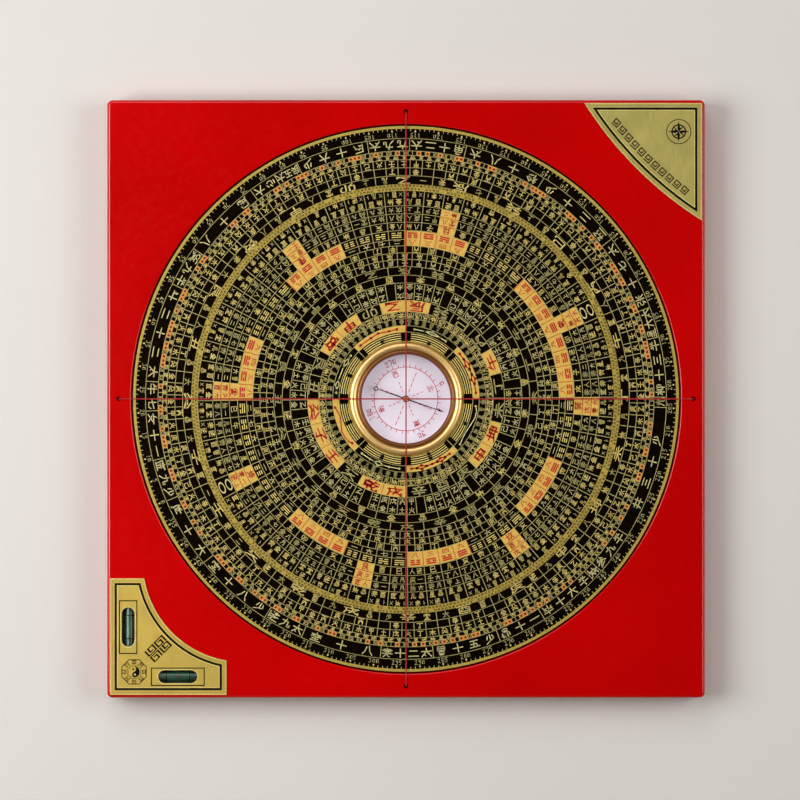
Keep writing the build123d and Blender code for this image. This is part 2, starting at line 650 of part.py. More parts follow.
def all_pieces():
    """Every piece of the compass by name, each in its place."""
    pieces = {
        "base_board": base_board(),
        "pivot_bush": pivot_bush(),
        "rim_glide_ring": rim_glide_ring(),
        "level_plate": level_plate(),
        "corner_plate": corner_plate(),
        "cross_thread_x": cross_thread(upper_thread_route()),
        "cross_thread_y": Rot(0, 0, 90) * cross_thread(lower_thread_route()),
        "dial_disc": dial_disc(),
        "dial_faceplate": dial_faceplate(),
        "compass_case": compass_case(),
        "compass_bezel": compass_bezel(),
        "compass_glass": compass_glass(),
        "glass_gasket": glass_gasket(),
        "compass_card": compass_card(),
        "needle_pivot": needle_pivot(),
        "retaining_washer": retaining_washer(),
        "retaining_ring": retaining_ring(),
        "needle_blade": needle_blade(),
        "needle_cap": needle_cap(),
        "needle_jewel": needle_jewel(),
    }
    for axis, frame in vial_frames().items():
        pieces["level_vial_" + axis] = frame * level_vial()
        pieces["vial_plugs_" + axis] = frame * vial_plugs()
        pieces["vial_bands_" + axis] = frame * vial_bands()
    return pieces


os.makedirs("parts", exist_ok=True)
for name, piece in all_pieces().items():
    piece.label = name
    export_step(piece, os.path.join("parts", name + ".step"))
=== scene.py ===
"""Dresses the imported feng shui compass: lacquered board, gold plates, printed dial, levels and needle."""
import json
import random
from math import cos, pi, radians, sin, sqrt
from typing import NamedTuple

import bpy
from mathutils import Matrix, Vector

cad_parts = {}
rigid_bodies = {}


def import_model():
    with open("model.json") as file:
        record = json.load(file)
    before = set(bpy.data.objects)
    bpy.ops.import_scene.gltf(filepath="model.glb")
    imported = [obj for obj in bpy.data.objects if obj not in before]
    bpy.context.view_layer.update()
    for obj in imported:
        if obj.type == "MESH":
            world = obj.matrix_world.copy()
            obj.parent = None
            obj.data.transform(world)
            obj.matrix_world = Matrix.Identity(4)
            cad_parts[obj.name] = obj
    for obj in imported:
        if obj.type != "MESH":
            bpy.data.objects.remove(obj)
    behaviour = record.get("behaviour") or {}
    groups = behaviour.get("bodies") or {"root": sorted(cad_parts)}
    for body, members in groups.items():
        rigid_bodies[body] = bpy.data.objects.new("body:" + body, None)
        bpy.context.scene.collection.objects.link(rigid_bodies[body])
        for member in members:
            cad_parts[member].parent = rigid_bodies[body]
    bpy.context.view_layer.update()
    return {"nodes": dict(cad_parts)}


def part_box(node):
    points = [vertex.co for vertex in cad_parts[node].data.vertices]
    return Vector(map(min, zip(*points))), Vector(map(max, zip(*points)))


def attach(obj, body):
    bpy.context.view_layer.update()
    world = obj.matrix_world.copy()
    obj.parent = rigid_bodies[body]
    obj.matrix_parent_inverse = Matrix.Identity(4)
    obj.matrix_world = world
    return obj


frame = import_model()

bl_info = {
    "name": "Feng shui compass",
    "version": (1, 0, 0),
    "blender": (4, 5, 0),
    "location": "View3D > Sidebar > Compass",
    "description": "Finishes, printed dial, plates, levels and needle of a feng shui compass",
    "category": "Object",
}

MM = 0.001

# Places read from the frame, in metres
BOARD_LOW, BOARD_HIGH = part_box("base_board")
FACE_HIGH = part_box("dial_faceplate")[1]
CARD_LOW, CARD_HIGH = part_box("compass_card")
LEVEL_LOW, LEVEL_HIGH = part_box("level_plate")
CORNER_LOW, CORNER_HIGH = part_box("corner_plate")
DIAL_RADIUS = FACE_HIGH.x
FACE_Z = FACE_HIGH.z
CARD_RADIUS = CARD_HIGH.x
CARD_Z = CARD_HIGH.z
BEZEL_GROOVE_RADIUS = 23.3 * MM


def tone(red, green, blue):
    """Linear colour of a display colour given from 0 to 255."""
    def linear(value):
        share = value / 255
        return share / 12.92 if share <= 0.04045 else ((share + 0.055) / 1.055) ** 2.4
    return (linear(red), linear(green), linear(blue))


def solid(colour):
    """A colour with full alpha, for a shader's socket."""
    return (*colour, 1.0)


def table(text):
    """Name and value from each line of a text."""
    return [line.split(": ") for line in text.splitlines()]


# Strokes of the printed characters on a grid from 0 to 8, x then y; a stroke is a run of points
STROKES = dict(table("""\
one: 0484
two: 1676 0181
three: 1777 2464 0181
four: 0787810107 373413 575474
five: 1777 4731 146461 0181
six: 4846 0585 3410 5470
seven: 0486 38317183
eight: 3723 2300 5863 6380
nine: 1666618183 483300
ten: 0484 4840
metal: 4804 4884 2565 1373 4540 0080 2231 6251
wood: 0585 4840 4501 4581
water: 484031 053501 865480
fire: 484400 4480 1624 7664
earth: 1575 4840 0080
jia: 1878741418 1676 4840
yi: 1777226171 106080 8082
bing: 0888 484522 4563 10157570
ding: 0787 474021
wu: 0686 161300 48538082 7531
ji: 08787515108082
geng: 4847 1787 171300 357573 2373 464210 5280
xin: 4847 1777 2635 6655 0484 1272 4440
ren: 6817 0484 4740 1070
gui: 183804 5884 2464 0282 4400 4280
zi: 187845 0484 454021
chou: 186850 3820 1464 0080
yin: 4847 05078785 2666 1575721215 4642 3210 5270
mao: 28070232 373210 5750 57878372
chen: 1878 181300 3666 2484 343051 7352 4480
si: 18787414 18108082
wuu: 2805 1676 0383 4640
wei: 1676 0484 4840 4400 4480
shen: 1777721217 1474 4840
you: 0888 1676701016 383423 585474 1272
xu: 0686 161300 48538082 7531 2343
hai: 4847 0787 371434 5400 7421 5280
qian: 0747 2826 0646430306 0444 0242 2320 6856 6787 558552508081
dui: 2816 5876 1575721215 321000 5251508081
li: 3837 0767 0646 0500 0444 4440 2622 5850 5787 5585 5383 5080 6860
zhen: 1878 0605 0686 8685 4844 3534 5554 1373 131100 2262 3120 4180
xun: 083837070535 588887575585 1474 0282 3432 5452 3210 5270
kan: 0535 1811 0132 5846 5787 8775 6440 6580
gen: 18686414 1666 181031 7352 3480
kun: 0535 2821 0032 4787824247 4585 6860
east: 0787 1676731316 1575 4840 4300 4380
south: 4846 1777 10158580 7080 2464 2262 4540
west: 0888 1676701016 383422 585464
north: 3830 0636 0132 58518183 8655
great: 0585 484500 4580 2231
little: 4843 2714 6774 743200
half: 2836 6856 1676 0383 4840
horn: 281628 2868 6856 1676 161100 7670 1474 1272 4640
axle: 0636 1813 0333 2720 584564 5885 6554 7454 7241
wings: 083805 588855 1575721215 4542 0080 1272
bow: 083835050232 3210 5850 8765 4484 6480
star: 2868652528 2666 4440 1464 1262 0080
willow: 0636 2820 2602 2633 574741 4152 6760 678783 8373
ghost: 48372767 2767642427 2565 4744 3410 5450808272
well: 282310 6860 0686 0383
three_stars: 3816 5876 1676 4603 4683 5534 5422 6210
beak: 1814 0434 5754 5484 2565 1373 131000 7370 1272 4340
net: 1814 1636 1534 5854 8664 5484 0282 4340
hairs: 2868652528 2666 343102 1410 3430 5450 547471
stomach: 1878741418 4844 1676 232060 2363 6360 2161
bond: 1777751517 0686 4843 0383 345060 5410
stride: 0686 484604 4684 2464 4440 1262 0080
wall: 0838 0535 080100 0828 5868 4787 5666 4484 1363 4520 0080
house: 4847 05078785 2666 363454 4340 2262 0080
peril: 281668 5746 1686 161000 3565 6543 3532 322272
void: 4845 0787 071100 2666 2464 3431 5451 1070
woman: 381460 0585 6400
ox: 2805 1676 0383 4840
ladle: 1726 1524 0383 6860
basket: 0838 1806 5888 5846 1575 2521 6561 2363 0282 2100 6180
tail: 187875 1575 181000 6525 2363 2161 4440 4080 8082
heart: 1512 35316172 4755 7684
room: 4847 1777 171000 1575 7775 4443 2383 532010 4371
root: 7817 161032 1474 4573 7381 2141
neck: 4846 0686 252210 2565 656080 8082
up: 4740 4474 0080
moon: 281200 28687051 2666 2464
person: 4834 3400 4480
cross: 0880 0088
side: 3830 3563
digit0: 2767713117 1711 3171
digit1: 284840
digit2: 1727686754 541070
digit3: 17286857 57466351 513110
digit4: 58125282 5850
digit5: 7818154563 635130 3010
digit6: 685816123060 60725414
digit7: 18787430
digit8: 286864542428 24143060736454
digit9: 746426175768 687463502010
"""))
SIGNS = [*STROKES, "bar", "dot", "key", "loop"]
STEMS = "jia yi bing ding wu ji geng xin ren gui".split()
BRANCHES = "zi chou yin mao chen si wuu wei shen you xu hai".split()
NUMERALS = "one two three four five six seven eight nine ten".split()
ELEMENTS = "metal wood water fire earth".split()
TRIGRAMS = "qian dui li zhen xun kan gen kun".split()
OPEN_SIGNS = "great person seven two six three nine moon eight up little one".split()
DENSE_SIGNS = "metal house star wall ghost beak hairs void you yin stomach bond".split()
MOUNTAINS = (
    "chen xun si bing wuu ding wei kun shen geng you xin xu qian hai ren zi gui chou gen "
    "yin jia mao yi"
).split()


class Mark(NamedTuple):
    """One printed mark: its shape, its middle, its turn and its size across and along."""
    shape: str
    x: float
    y: float
    turn: float
    wide: float
    tall: float


class Row(NamedTuple):
    """One ring of single characters, placed by angle."""
    ring: str
    count: int
    first_deg: float
    wide: float
    tall: float
    signs: list
    ink: str
    weight: str = "plain"
    filled: float = 1.0


# Rings of the dial from the rim inwards: inner and outer edge as shares of its radius
RINGS = {ring: [float(edge) for edge in edges.split()] for ring, edges in table("""\
rim: 0.9875 0.9975
tick: 0.9795 0.9875
long tick: 0.975 0.9875
degree dot: 0.9785 0.9785
degree: 0.9645 0.9645
mansion: 0.9065 0.952
small cell: 0.890 0.906
orange cell: 0.8905 0.9055
fine sign: 0.873 0.890
even mark: 0.844 0.873
outer division: 0.815 0.844
beside mountain: 0.785 0.815
outer mountain: 0.782 0.814
gold band: 0.7605 0.785
outer band: 0.7735 0.785
inner band: 0.762 0.7735
column top: 0.735 0.761
column pair: 0.706 0.735
column outer loop: 0.733 0.760
column inner loop: 0.706 0.733
column upper: 0.677 0.705
column lower: 0.646 0.677
column name: 0.614 0.646
column numeral: 0.561 0.584
tall yellow: 0.614 0.705
yellow: 0.560 0.614
yellow line: 0.561 0.613
inner division: 0.533 0.560
branch: 0.510 0.533
stem: 0.483 0.510
middle mountain: 0.452 0.483
plain sign: 0.423 0.452
sound: 0.392 0.4245
dragon: 0.360 0.392
mountain: 0.319 0.360
mountain line: 0.320 0.359
upper sign: 0.293 0.319
lower sign: 0.268 0.293
star: 0.2445 0.268
trigram: 0.2125 0.2395
capsule: 0.2095 0.2115
""")}
LINE_SHARES = (0.952, 0.9065, 0.890, 0.8745, 0.845, 0.8165, 0.7065, 0.677, 0.646, 0.6155, 0.583, 0.560, 0.534,
               0.510, 0.4835, 0.4525, 0.4238, 0.360, 0.319, 0.293, 0.268, 0.2445)
# Angles run clockwise from the top, in degrees
# North is the zero of the dial's degrees and the middle of the seventeenth mountain
NORTH_DEG = 247.0
MOUNTAIN_DEG = 15.0
FIRST_MOUNTAIN_DEG = NORTH_DEG - 16.5 * MOUNTAIN_DEG
HALF_MOUNTAIN_DEG = MOUNTAIN_DEG / 2
YELLOW_MOUNTAINS = (0, 4, 7, 8, 12, 13, 15, 16, 17, 20, 21, 23)
DIVIDERS = (
    # count, first angle, inner and outer share
    (360, 0.5, 0.890, 0.906),
    (120, 1.0, 0.8165, 0.8745),
    (24, FIRST_MOUNTAIN_DEG + HALF_MOUNTAIN_DEG, 0.785, 0.8165),
    (64, FIRST_MOUNTAIN_DEG, 0.560, 0.762),
    (120, 2.5, 0.534, 0.560),
    (60, 2.5, 0.4835, 0.534),
    (24, FIRST_MOUNTAIN_DEG + HALF_MOUNTAIN_DEG, 0.4525, 0.4835),
    (24, FIRST_MOUNTAIN_DEG, 0.4238, 0.4525),
    (72, FIRST_MOUNTAIN_DEG, 0.360, 0.4238),
    (24, FIRST_MOUNTAIN_DEG, 0.319, 0.360),
    (64, FIRST_MOUNTAIN_DEG, 0.293, 0.319),
    (8, 0.0, 0.209, 0.268),
)
# The lunar mansions with their extents, each from its first angle to the next one's, last sign first in turn
MANSIONS = [(float(start), signs.split()) for start, signs in table("""\
0.8: horn ten two great
13.5: axle ten eight great
32.0: wings two ten little
52.1: bow ten seven great
69.4: star six great
76.2: willow ten three half
89.6: ghost
91.9: - well three ten little -
121.6: three_stars nine half
131.4: beak
134.0: net ten six half
147.8: hairs ten one
158.7: stomach ten five little
173.9: bond ten two great
185.7: stride ten eight
203.7: wall nine great
212.9: house ten eight little
231.0: peril ten six
246.9: void nine little
256.3: woman ten one
267.3: ox seven
273.9: ladle two ten two great
296.2: basket nine half
305.3: tail ten eight
323.3: heart six
329.5: room five great
335.2: root ten six little
351.4: neck nine great
""")]
ROWS = (
    Row("fine sign", 180, 1.6, 2.5, 1.8, DENSE_SIGNS, "gold"),
    Row("inner band", 360, 0.6, 1.45, 1.2, DENSE_SIGNS, "black", "plain", 0.92),
    Row("outer band", 360, 0.1, 1.45, 1.2, DENSE_SIGNS, "black", "plain", 0.92),
    Row("plain sign", 24, 7.0, 4.0, 3.1, DENSE_SIGNS, "gold"),
    Row("upper sign", 64, 2.3, 3.1, 2.9, DENSE_SIGNS, "gold"),
    Row("lower sign", 64, 2.3, 2.1, 2.6, DENSE_SIGNS, "dull", "bold"),
)
# Marked cells in the ring of 360, by their degree; a dash joins the first and last of a run
ORANGE_DEGREES = (
    "3 5 8 12-13 17 20-21 29 31-34 41-43 46 49 51-52 57-59 61-62 66 68-69 73-74 77-80 86 89 96 98 102-103 "
    "106 108-109 116 119 123 126 138 140 145 147 149 151-152 155-156 163-164 166-167 169 171 173 176 178 "
    "182 186 189 197-198 201 206-207 211-212 215-216 218 222-223 226 228-230 237 240 244-245 251-253 "
    "259-261 263 267-268 273 278-280 282-283 285-288 291 294-296 302 304-305 315-316 319-320 328-329 331 "
    "334-336 340 344 347-349 353 358"
)
ORANGE_RUNS = [(int(run.split("-")[0]), int(run.split("-")[-1])) for run in ORANGE_DEGREES.split()]
# Elements of the sixty pairs of a stem and a branch, one for every two pairs, twice round
SOUNDS = "metal fire wood earth metal fire water earth metal wood water earth fire wood water".split()

# The block of 64 columns, one for each pair of trigrams; the first pair starts at the south
COLUMNS = 64
COLUMN_DEG = 360 / COLUMNS
SOUTH_COLUMN = 12
TRIGRAM_NUMBERS = (9, 4, 3, 8, 2, 7, 6, 1)
TRIGRAM_LINE_SHARE = 0.5915
TRIGRAM_LINE_STEP = 0.0074
PAIRED_NAMES = (0, 5, 7, 8, 9, 13, 22, 31, 49, 51, 52, 54, 55, 59, 63)

# Star figures of the eight inner cells: points by angle and by lift from the middle of the ring, -1 to 1
STAR_LIFT_SHARE = 0.0085
STAR_FIGURES = (
    (((34.5, 0), (29, 0), (22, -0.5), (15.5, 0), (7, 0)), ((29, 0), (22, 0.7), (15.5, 0))),
    (((85, 0), (77.5, 0), (73.7, -0.9), (69.5, 0), (65.3, 0), (61.2, -0.9), (55.7, 0), (50, 0)),
     ((77.5, 0), (73.7, 0.9), (69.5, 0)), ((65.3, 0), (61.2, 0.9), (55.7, 0))),
    (((130, 0.2), (125, -0.5), (120, -0.7), (115, -0.5), (110, 0), (105, 0.6), (100, 0.7), (96, 0)),),
    (((175.5, 0), (171, 0), (167, -0.8), (163, 0), (158, 0), (153.5, 0), (150, -0.8), (146, 0), (141.5, 0)),
     ((171, 0), (167, 0.8), (163, 0)), ((153.5, 0), (150, 0.8), (146, 0))),
    (((219, 0), (211, 0), (207, 0), (203, -0.9), (199, 0), (194, 0), (185.5, 0)),
     ((207, 0), (203, 0.9), (199, 0))),
    (((263, 0.6), (259, -0.4), (254.5, -0.8), (250, -0.4), (247, 0.1), (243, 0.8), (238, 0.9), (233, 0.5),
      (230.5, -0.2)),),
    (((308, 0), (305.5, 0), (301.5, -0.8), (297, 0), (285.5, 0), (281.5, -0.8), (277.5, 0), (275, 0)),
     ((305.5, 0), (301.5, 0.8), (297, 0)), ((285.5, 0), (281.5, 0.8), (277.5, 0))),
    (((352.5, 0), (346, -0.2), (337, 0.4), (330, 0), (319.5, 0)),),
)
SMOOTH_FIGURES = (2, 5)
YELLOW_STARS = (1, 3, 5, 7)
# Trigrams of the innermost ring, by their place in the list of trigrams
INNER_TRIGRAMS = (1, 0, 4, 5, 6, 7, 3, 2)


def number(name, note, default, **kinds):
    """Setting for a number."""
    return bpy.props.FloatProperty(name=name, description=note, default=default, **kinds)


def length(name, note, millimetres):
    """Setting for a length."""
    return number(name, note, millimetres * MM, unit="LENGTH")


def colour(name, note, red, green, blue):
    """Setting for a colour, given as a display colour."""
    return bpy.props.FloatVectorProperty(
        name=name, description=note, subtype="COLOR", default=tone(red, green, blue))


class BoardSettings(bpy.types.PropertyGroup):
    """Finish of the board."""
    lacquer: colour("Lacquer", "Colour of the board's lacquer", 206, 0, 2)
    lacquer_shade: colour("Lacquer shade", "Deeper red that clouds the lacquer", 190, 0, 1)
    gloss_roughness: number("Gloss roughness", "Roughness of the lacquer's clear coat", 0.08,
                            subtype="FACTOR", min=0.0, max=1.0)


class PlateSettings(bpy.types.PropertyGroup):
    """Printing on the two corner plates."""
    relief: length("Relief", "Thickness of the enamel", 0.03)
    border_inset: length("Border inset", "From the plate's edge to the middle of its black line", 2.75)
    border_width: length("Border width", "Width of the black line", 1.05)
    seam_inset: length("Seam inset", "From the plate's edge to the thin olive line", 1.25)
    level_end: length("Level plate end", "Length of the level plate's two short ends", 16.4)
    level_arc: length("Level plate arc", "Radius of the level plate's hollow side", 48.0)
    corner_arc: length("Corner plate arc", "Radius of the corner plate's bulging side", 180.0)
    window_inset: length("Window inset", "From the plate's side to the middle of a window", 8.65)
    window_reach: length("Window reach", "From the plate's corner to the middle of a window", 32.4)
    frame_length: length("Frame length", "Length of the thin frame round a window", 25.2)
    frame_width: length("Frame width", "Width of the thin frame round a window", 8.3)
    gold: colour("Plate gold", "Colour of the level plate", 212, 182, 84)
    corner_gold: colour("Corner gold", "Colour of the greener corner plate", 191, 178, 98)
    enamel: colour("Enamel", "Colour of the black enamel", 4, 3, 1)


class VialSettings(bpy.types.PropertyGroup):
    """Liquid and bubble of the level vials, and the pockets they lie in."""
    bore_radius: length("Liquid radius", "Radius of the liquid at the ends of a vial", 1.92)
    bore_swell: length("Liquid swell", "What the barrel bore adds to that at its middle", 0.25)
    liquid_length: length("Liquid length", "From plug to plug", 14.1)
    liquid: colour("Liquid", "Colour of the liquid", 30, 76, 56)
    bubble: colour("Bubble", "Colour seen in the upright vial's bubble", 58, 106, 80)
    # The lying bubble's red-brown is a painted reflection of the red board
    lying_bubble: colour("Lying bubble", "Colour seen in the lying vial's bubble", 96, 58, 44)
    pocket_width: length("Pocket width", "Width of the pocket in the board", 6.8)
    pocket_length: length("Pocket length", "Length of the pocket in the board", 21.4)
    cradle_radius: length("Cradle radius", "Radius of the pocket's round floor", 2.73)


class PrintSettings(bpy.types.PropertyGroup):
    """Inks and line widths of the dial."""
    relief: length("Line relief", "Thickness of the printed lines", 0.03)
    field_relief: length("Field relief", "Thickness of the coloured cells", 0.04)
    mark_relief: length("Mark relief", "Thickness of the characters", 0.055)
    line_width: length("Line width", "Width of the circles", 0.27)
    divider_width: length("Divider width", "Width of the radial lines", 0.32)
    tick_width: length("Tick width", "Width of the degree ticks", 0.34)
    gold: colour("Gold ink", "Colour of the bright characters", 234, 212, 124)
    rim: colour("Rim gold", "Colour of the plain gold bands", 194, 169, 76)
    pale: colour("Pale ink", "Colour of the lesser characters", 217, 206, 142)
    line: colour("Line ink", "Colour of circles, radial lines and dull characters", 186, 175, 110)
    yellow: colour("Yellow", "Colour of the filled cells", 224, 183, 85)
    orange: colour("Orange", "Colour of the small marked cells", 226, 144, 56)
    red: colour("Red ink", "Colour of characters in yellow cells", 192, 16, 7)
    ground: colour("Ground", "Black of the dial", 8, 5, 3)


class CardSettings(bpy.types.PropertyGroup):
    """Card under the needle, and the bead that seals the glass, darkened as painted shade under the bezel's
    lip.
    """
    circle_radius: length("Circle radius", "Radius of the card's circle", 15.3)
    tick_end: length("Tick end", "Radius that the card's ticks reach", 16.8)
    number_radius: length("Number radius", "Radius of the numbers' middle", 18.7)
    sign_radius: length("Sign radius", "Radius of the direction signs", 12.8)
    north_deg: number("North", "Angle of the card's zero, clockwise from the top, in degrees", 66.5)
    bead_radius: length("Bead radius", "Inner radius of the bead between lip and glass", 21.42)
    bead_top: length("Bead top", "Height of that bead's top", 18.95)
    relief: length("Relief", "Thickness of the card's ink", 0.03)
    line_width: length("Line width", "Width of the card's lines", 0.32)
    ink: colour("Card ink", "Colour of the card's print", 190, 6, 40)
    card: colour("Card", "Colour of the card", 206, 197, 201)


class StageSettings(bpy.types.PropertyGroup):
    """Floor, lights and camera."""
    floor_radius: length("Floor radius", "Radius of the pale floor", 6000.0)
    floor: colour("Floor", "Colour of the floor", 226, 223, 218)
    camera_height: length("Camera height", "Camera above the board's face", 2200.0)
    board_pixels: number("Board in pixels", "Width of the board in the image", 598.0)
    image_pixels: number("Image in pixels", "Width of the image", 800.0)
    middle_across: number("Middle across", "Pixel column of the board's middle", 406.0)
    middle_down: number("Middle down", "Pixel row of the board's middle", 398.9)
    light_power: number("Light power", "Power of one soft light, in watts", 7.0)
    sky_horizon: number("Sky at the horizon", "Strength of the sky low down", 0.25)
    sky_zenith: number("Sky overhead", "Strength of the sky above the face", 0.012)


# Flat figures

def spot(angle_deg, radius):
    """Point at an angle clockwise from the top, and a radius."""
    return Vector((sin(radians(angle_deg)), cos(radians(angle_deg)))) * radius


def turned(place, turn):
    """A flat place, turned anticlockwise about the origin."""
    x, y = place
    return Vector((x * cos(turn) - y * sin(turn), x * sin(turn) + y * cos(turn)))


def arc_points(centre, radius, start, end, steps):
    """Points on the shorter arc about a centre, from one point to another."""
    first, last = start - centre, end - centre
    sweep = first.angle_signed(last)
    scale = radius / first.length
    return [centre + turned(first, -sweep * i / steps) * scale for i in range(steps + 1)]


def add_piece(name, mesh, material, body):
    """Object of a finished mesh that rides on a body."""
    piece = bpy.data.objects.new(name, mesh)
    bpy.context.scene.collection.objects.link(piece)
    if material is not None:
        mesh.materials.clear()
        mesh.materials.append(material)
    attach(piece, body)


class Inlay:
    """Flat figures raised from a surface: upright sides, open underneath, every face outwards."""

    def __init__(self, low, relief):
        self.low = low
        self.high = low + relief
        self.points = []
        self.faces = []

    def posts(self, spots):
        """Adds a low and a high point at each spot, and gives the first one's number."""
        first = len(self.points)
        self.points += [(x, y, z) for x, y in spots for z in (self.low, self.high)]
        return first

    def ribbon(self, lefts, rights, closed=False):
        """Strip between two rows of points, seen along its run."""
        count = len(lefts)
        first = self.posts([place for pair in zip(lefts, rights) for place in pair])
        for i in range(count if closed else count - 1):
            left, next_left = first + 4 * i, first + 4 * ((i + 1) % count)
            right, next_right = left + 2, next_left + 2
            self.faces += [
                (right + 1, next_right + 1, next_left + 1, left + 1),
                (right, next_right, next_right + 1, right + 1),
                (next_left, left, left + 1, next_left + 1),
            ]
        if not closed:
            last = first + 4 * (count - 1)
            self.faces += [(first, first + 2, first + 3, first + 1), (last + 2, last, last + 1, last + 3)]

    def path(self, points, width, closed=False):
        """Line of even width through points, mitred at its corners."""
        places = [Vector(point) for point in points]
        lefts, rights = [], []
        for i, place in enumerate(places):
            sides = []
            if closed or i > 0:
                sides.append((place - places[i - 1]).normalized())
            if closed or i < len(places) - 1:
                sides.append((places[(i + 1) % len(places)] - place).normalized())
            normals = [Vector((-side.y, side.x)) for side in sides]
            mitre = sum(normals, Vector((0, 0)))
            mitre *= width / 2 / mitre.dot(normals[0])
            lefts.append(place + mitre)
            rights.append(place - mitre)
        self.ribbon(lefts, rights, closed)

    def strokes(self, points, width):
        """Straight bars from point to point, each past both its ends by half its width."""
        places = [Vector(point) for point in points]
        for start, end in zip(places, places[1:]):
            beyond = (end - start).normalized() * width / 2
            self.path([start - beyond, end + beyond], width)

    def band(self, inner, outer, start_deg, end_deg, step_deg=1.5):
        """Sector of a ring, clockwise from one angle to another."""
        steps = max(1, round((end_deg - start_deg) / step_deg))
        angles = [start_deg + (end_deg - start_deg) * i / steps for i in range(steps + 1)]
        self.ribbon([spot(a, outer) for a in angles], [spot(a, inner) for a in angles])

    def ring(self, inner, outer, sides, centre=(0, 0)):
        """Whole ring about a centre."""
        middle = Vector(centre)
        angles = [360 * i / sides for i in range(sides)]
        self.ribbon(*([middle + spot(a, radius) for a in angles] for radius in (outer, inner)), True)

    def polygon(self, corners):
        """Filled figure, its corners anticlockwise."""
        count = len(corners)
        first = self.posts(corners)
        self.faces.append(tuple(first + 2 * i + 1 for i in range(count)))
        for i in range(count):
            here, there = first + 2 * i, first + 2 * ((i + 1) % count)
            self.faces.append((here, there, there + 1, here + 1))

    def disc(self, centre, radius, sides=12):
        """Filled circle."""
        self.polygon([Vector(centre) + spot(-360 * i / sides, radius) for i in range(sides)])

    def mesh(self, name):
        """The figures as one mesh."""
        made = bpy.data.meshes.new(name)
        made.from_pydata(self.points, [], self.faces)
        made.update()
        return made

    def lay(self, name, material, body, slot):
        """The figures as a piece of a body."""
        add_piece(name, self.mesh(name), material, body)


# Node trees

def add_node(tree, kind, sockets=None, **settings):
    """Node with its settings; each named socket is given a value or joined to another's output."""
    node = tree.nodes.new(kind)
    for key, value in settings.items():
        setattr(node, key, value)
    for label, value in (sockets or {}).items():
        if isinstance(value, bpy.types.NodeSocket):
            tree.links.new(value, node.inputs[label])
        else:
            node.inputs[label].default_value = value
    return node


def calculate(tree, operation, first, second=0.0):
    """Result of a sum on one or two values."""
    return add_node(tree, "ShaderNodeMath", {0: first, 1: second}, operation=operation).outputs[0]


def combine(tree, x=0.0, y=0.0, z=0.0):
    """Vector of three values."""
    return add_node(tree, "ShaderNodeCombineXYZ", {"X": x, "Y": y, "Z": z}).outputs[0]


def split(tree, place):
    """The three values of a vector."""
    return add_node(tree, "ShaderNodeSeparateXYZ", {0: place}).outputs


def map_range(tree, value, low, high, start=0.0, end=1.0):
    """Value of one range, brought to another and kept in it."""
    return add_node(tree, "ShaderNodeMapRange", {
        "Value": value, "From Min": low, "From Max": high, "To Min": start, "To Max": end}).outputs[0]


def mix_colours(tree, share, first, second):
    """Colour between two."""
    return add_node(tree, "ShaderNodeMix", {0: share, 6: first, 7: second}, data_type="RGBA").outputs[2]


def flat_radius(tree, place):
    """Distance from the upright axis."""
    flat = add_node(tree, "ShaderNodeVectorMath", {0: place, 1: (1.0, 1.0, 0.0)}, operation="MULTIPLY")
    return add_node(tree, "ShaderNodeVectorMath", {0: flat.outputs[0]}, operation="LENGTH").outputs["Value"]


def start_tree(name, kind, inputs, outputs):
    """Empty node group with named sockets, and the node that gives its inputs."""
    tree = bpy.data.node_groups.new(name, kind)
    for side, sockets in (("INPUT", inputs), ("OUTPUT", outputs)):
        for label, socket in sockets:
            tree.interface.new_socket(label, in_out=side, socket_type="NodeSocket" + socket)
    return tree, add_node(tree, "NodeGroupInput").outputs


def built_once(name, build):
    """Node group of that name, built where it isn't there yet."""
    return bpy.data.node_groups.get(name) or build(name)


# Geometry trees

def geometry_tree(name, **inputs):
    """Start of a geometry tree, whose named inputs are given with their kinds."""
    labels = [(label.replace("_", " "), kind) for label, kind in inputs.items()]
    geometry = [("Geometry", "Geometry")]
    return start_tree(name, "GeometryNodeTree", geometry + labels + [("Finish", "Material")], geometry)


def end_geometry(tree, given, geometry, before=None):
    """Ends a tree: real geometry in its finish, joined to what came in."""
    real = add_node(tree, "GeometryNodeRealizeInstances", {"Geometry": geometry})
    made = add_node(tree, "GeometryNodeSetMaterial", {
        "Geometry": real.outputs[0], "Material": given["Finish"]})
    if before is not None:
        joined = add_node(tree, "GeometryNodeJoinGeometry")
        tree.links.new(before, joined.inputs[0])
        tree.links.new(made.outputs[0], joined.inputs[0])
        made = joined
    add_node(tree, "NodeGroupOutput", {"Geometry": made.outputs[0]})
    return tree


def stored(tree, label, kind="FLOAT"):
    """Attribute that the points carry."""
    node = add_node(tree, "GeometryNodeInputNamedAttribute", {"Name": label}, data_type=kind)
    return node.outputs["Attribute"]


def stamps_tree(name):
    """Puts a shape of a collection on every point, turned and sized as the point says."""
    tree, given = geometry_tree(name, Shapes="Collection", Relief="Float")
    shapes = add_node(tree, "GeometryNodeCollectionInfo", {
        "Collection": given["Shapes"], "Separate Children": True, "Reset Children": True})
    size = add_node(tree, "ShaderNodeVectorMath", {
        0: stored(tree, "size", "FLOAT_VECTOR"), 1: combine(tree, z=given["Relief"])}, operation="ADD")
    stamps = add_node(tree, "GeometryNodeInstanceOnPoints", {
        "Points": given["Geometry"], "Instance": shapes.outputs[0], "Pick Instance": True,
        "Instance Index": stored(tree, "shape", "INT"),
        "Rotation": combine(tree, z=stored(tree, "turn")), "Scale": size.outputs[0]})
    return end_geometry(tree, given, stamps.outputs[0])


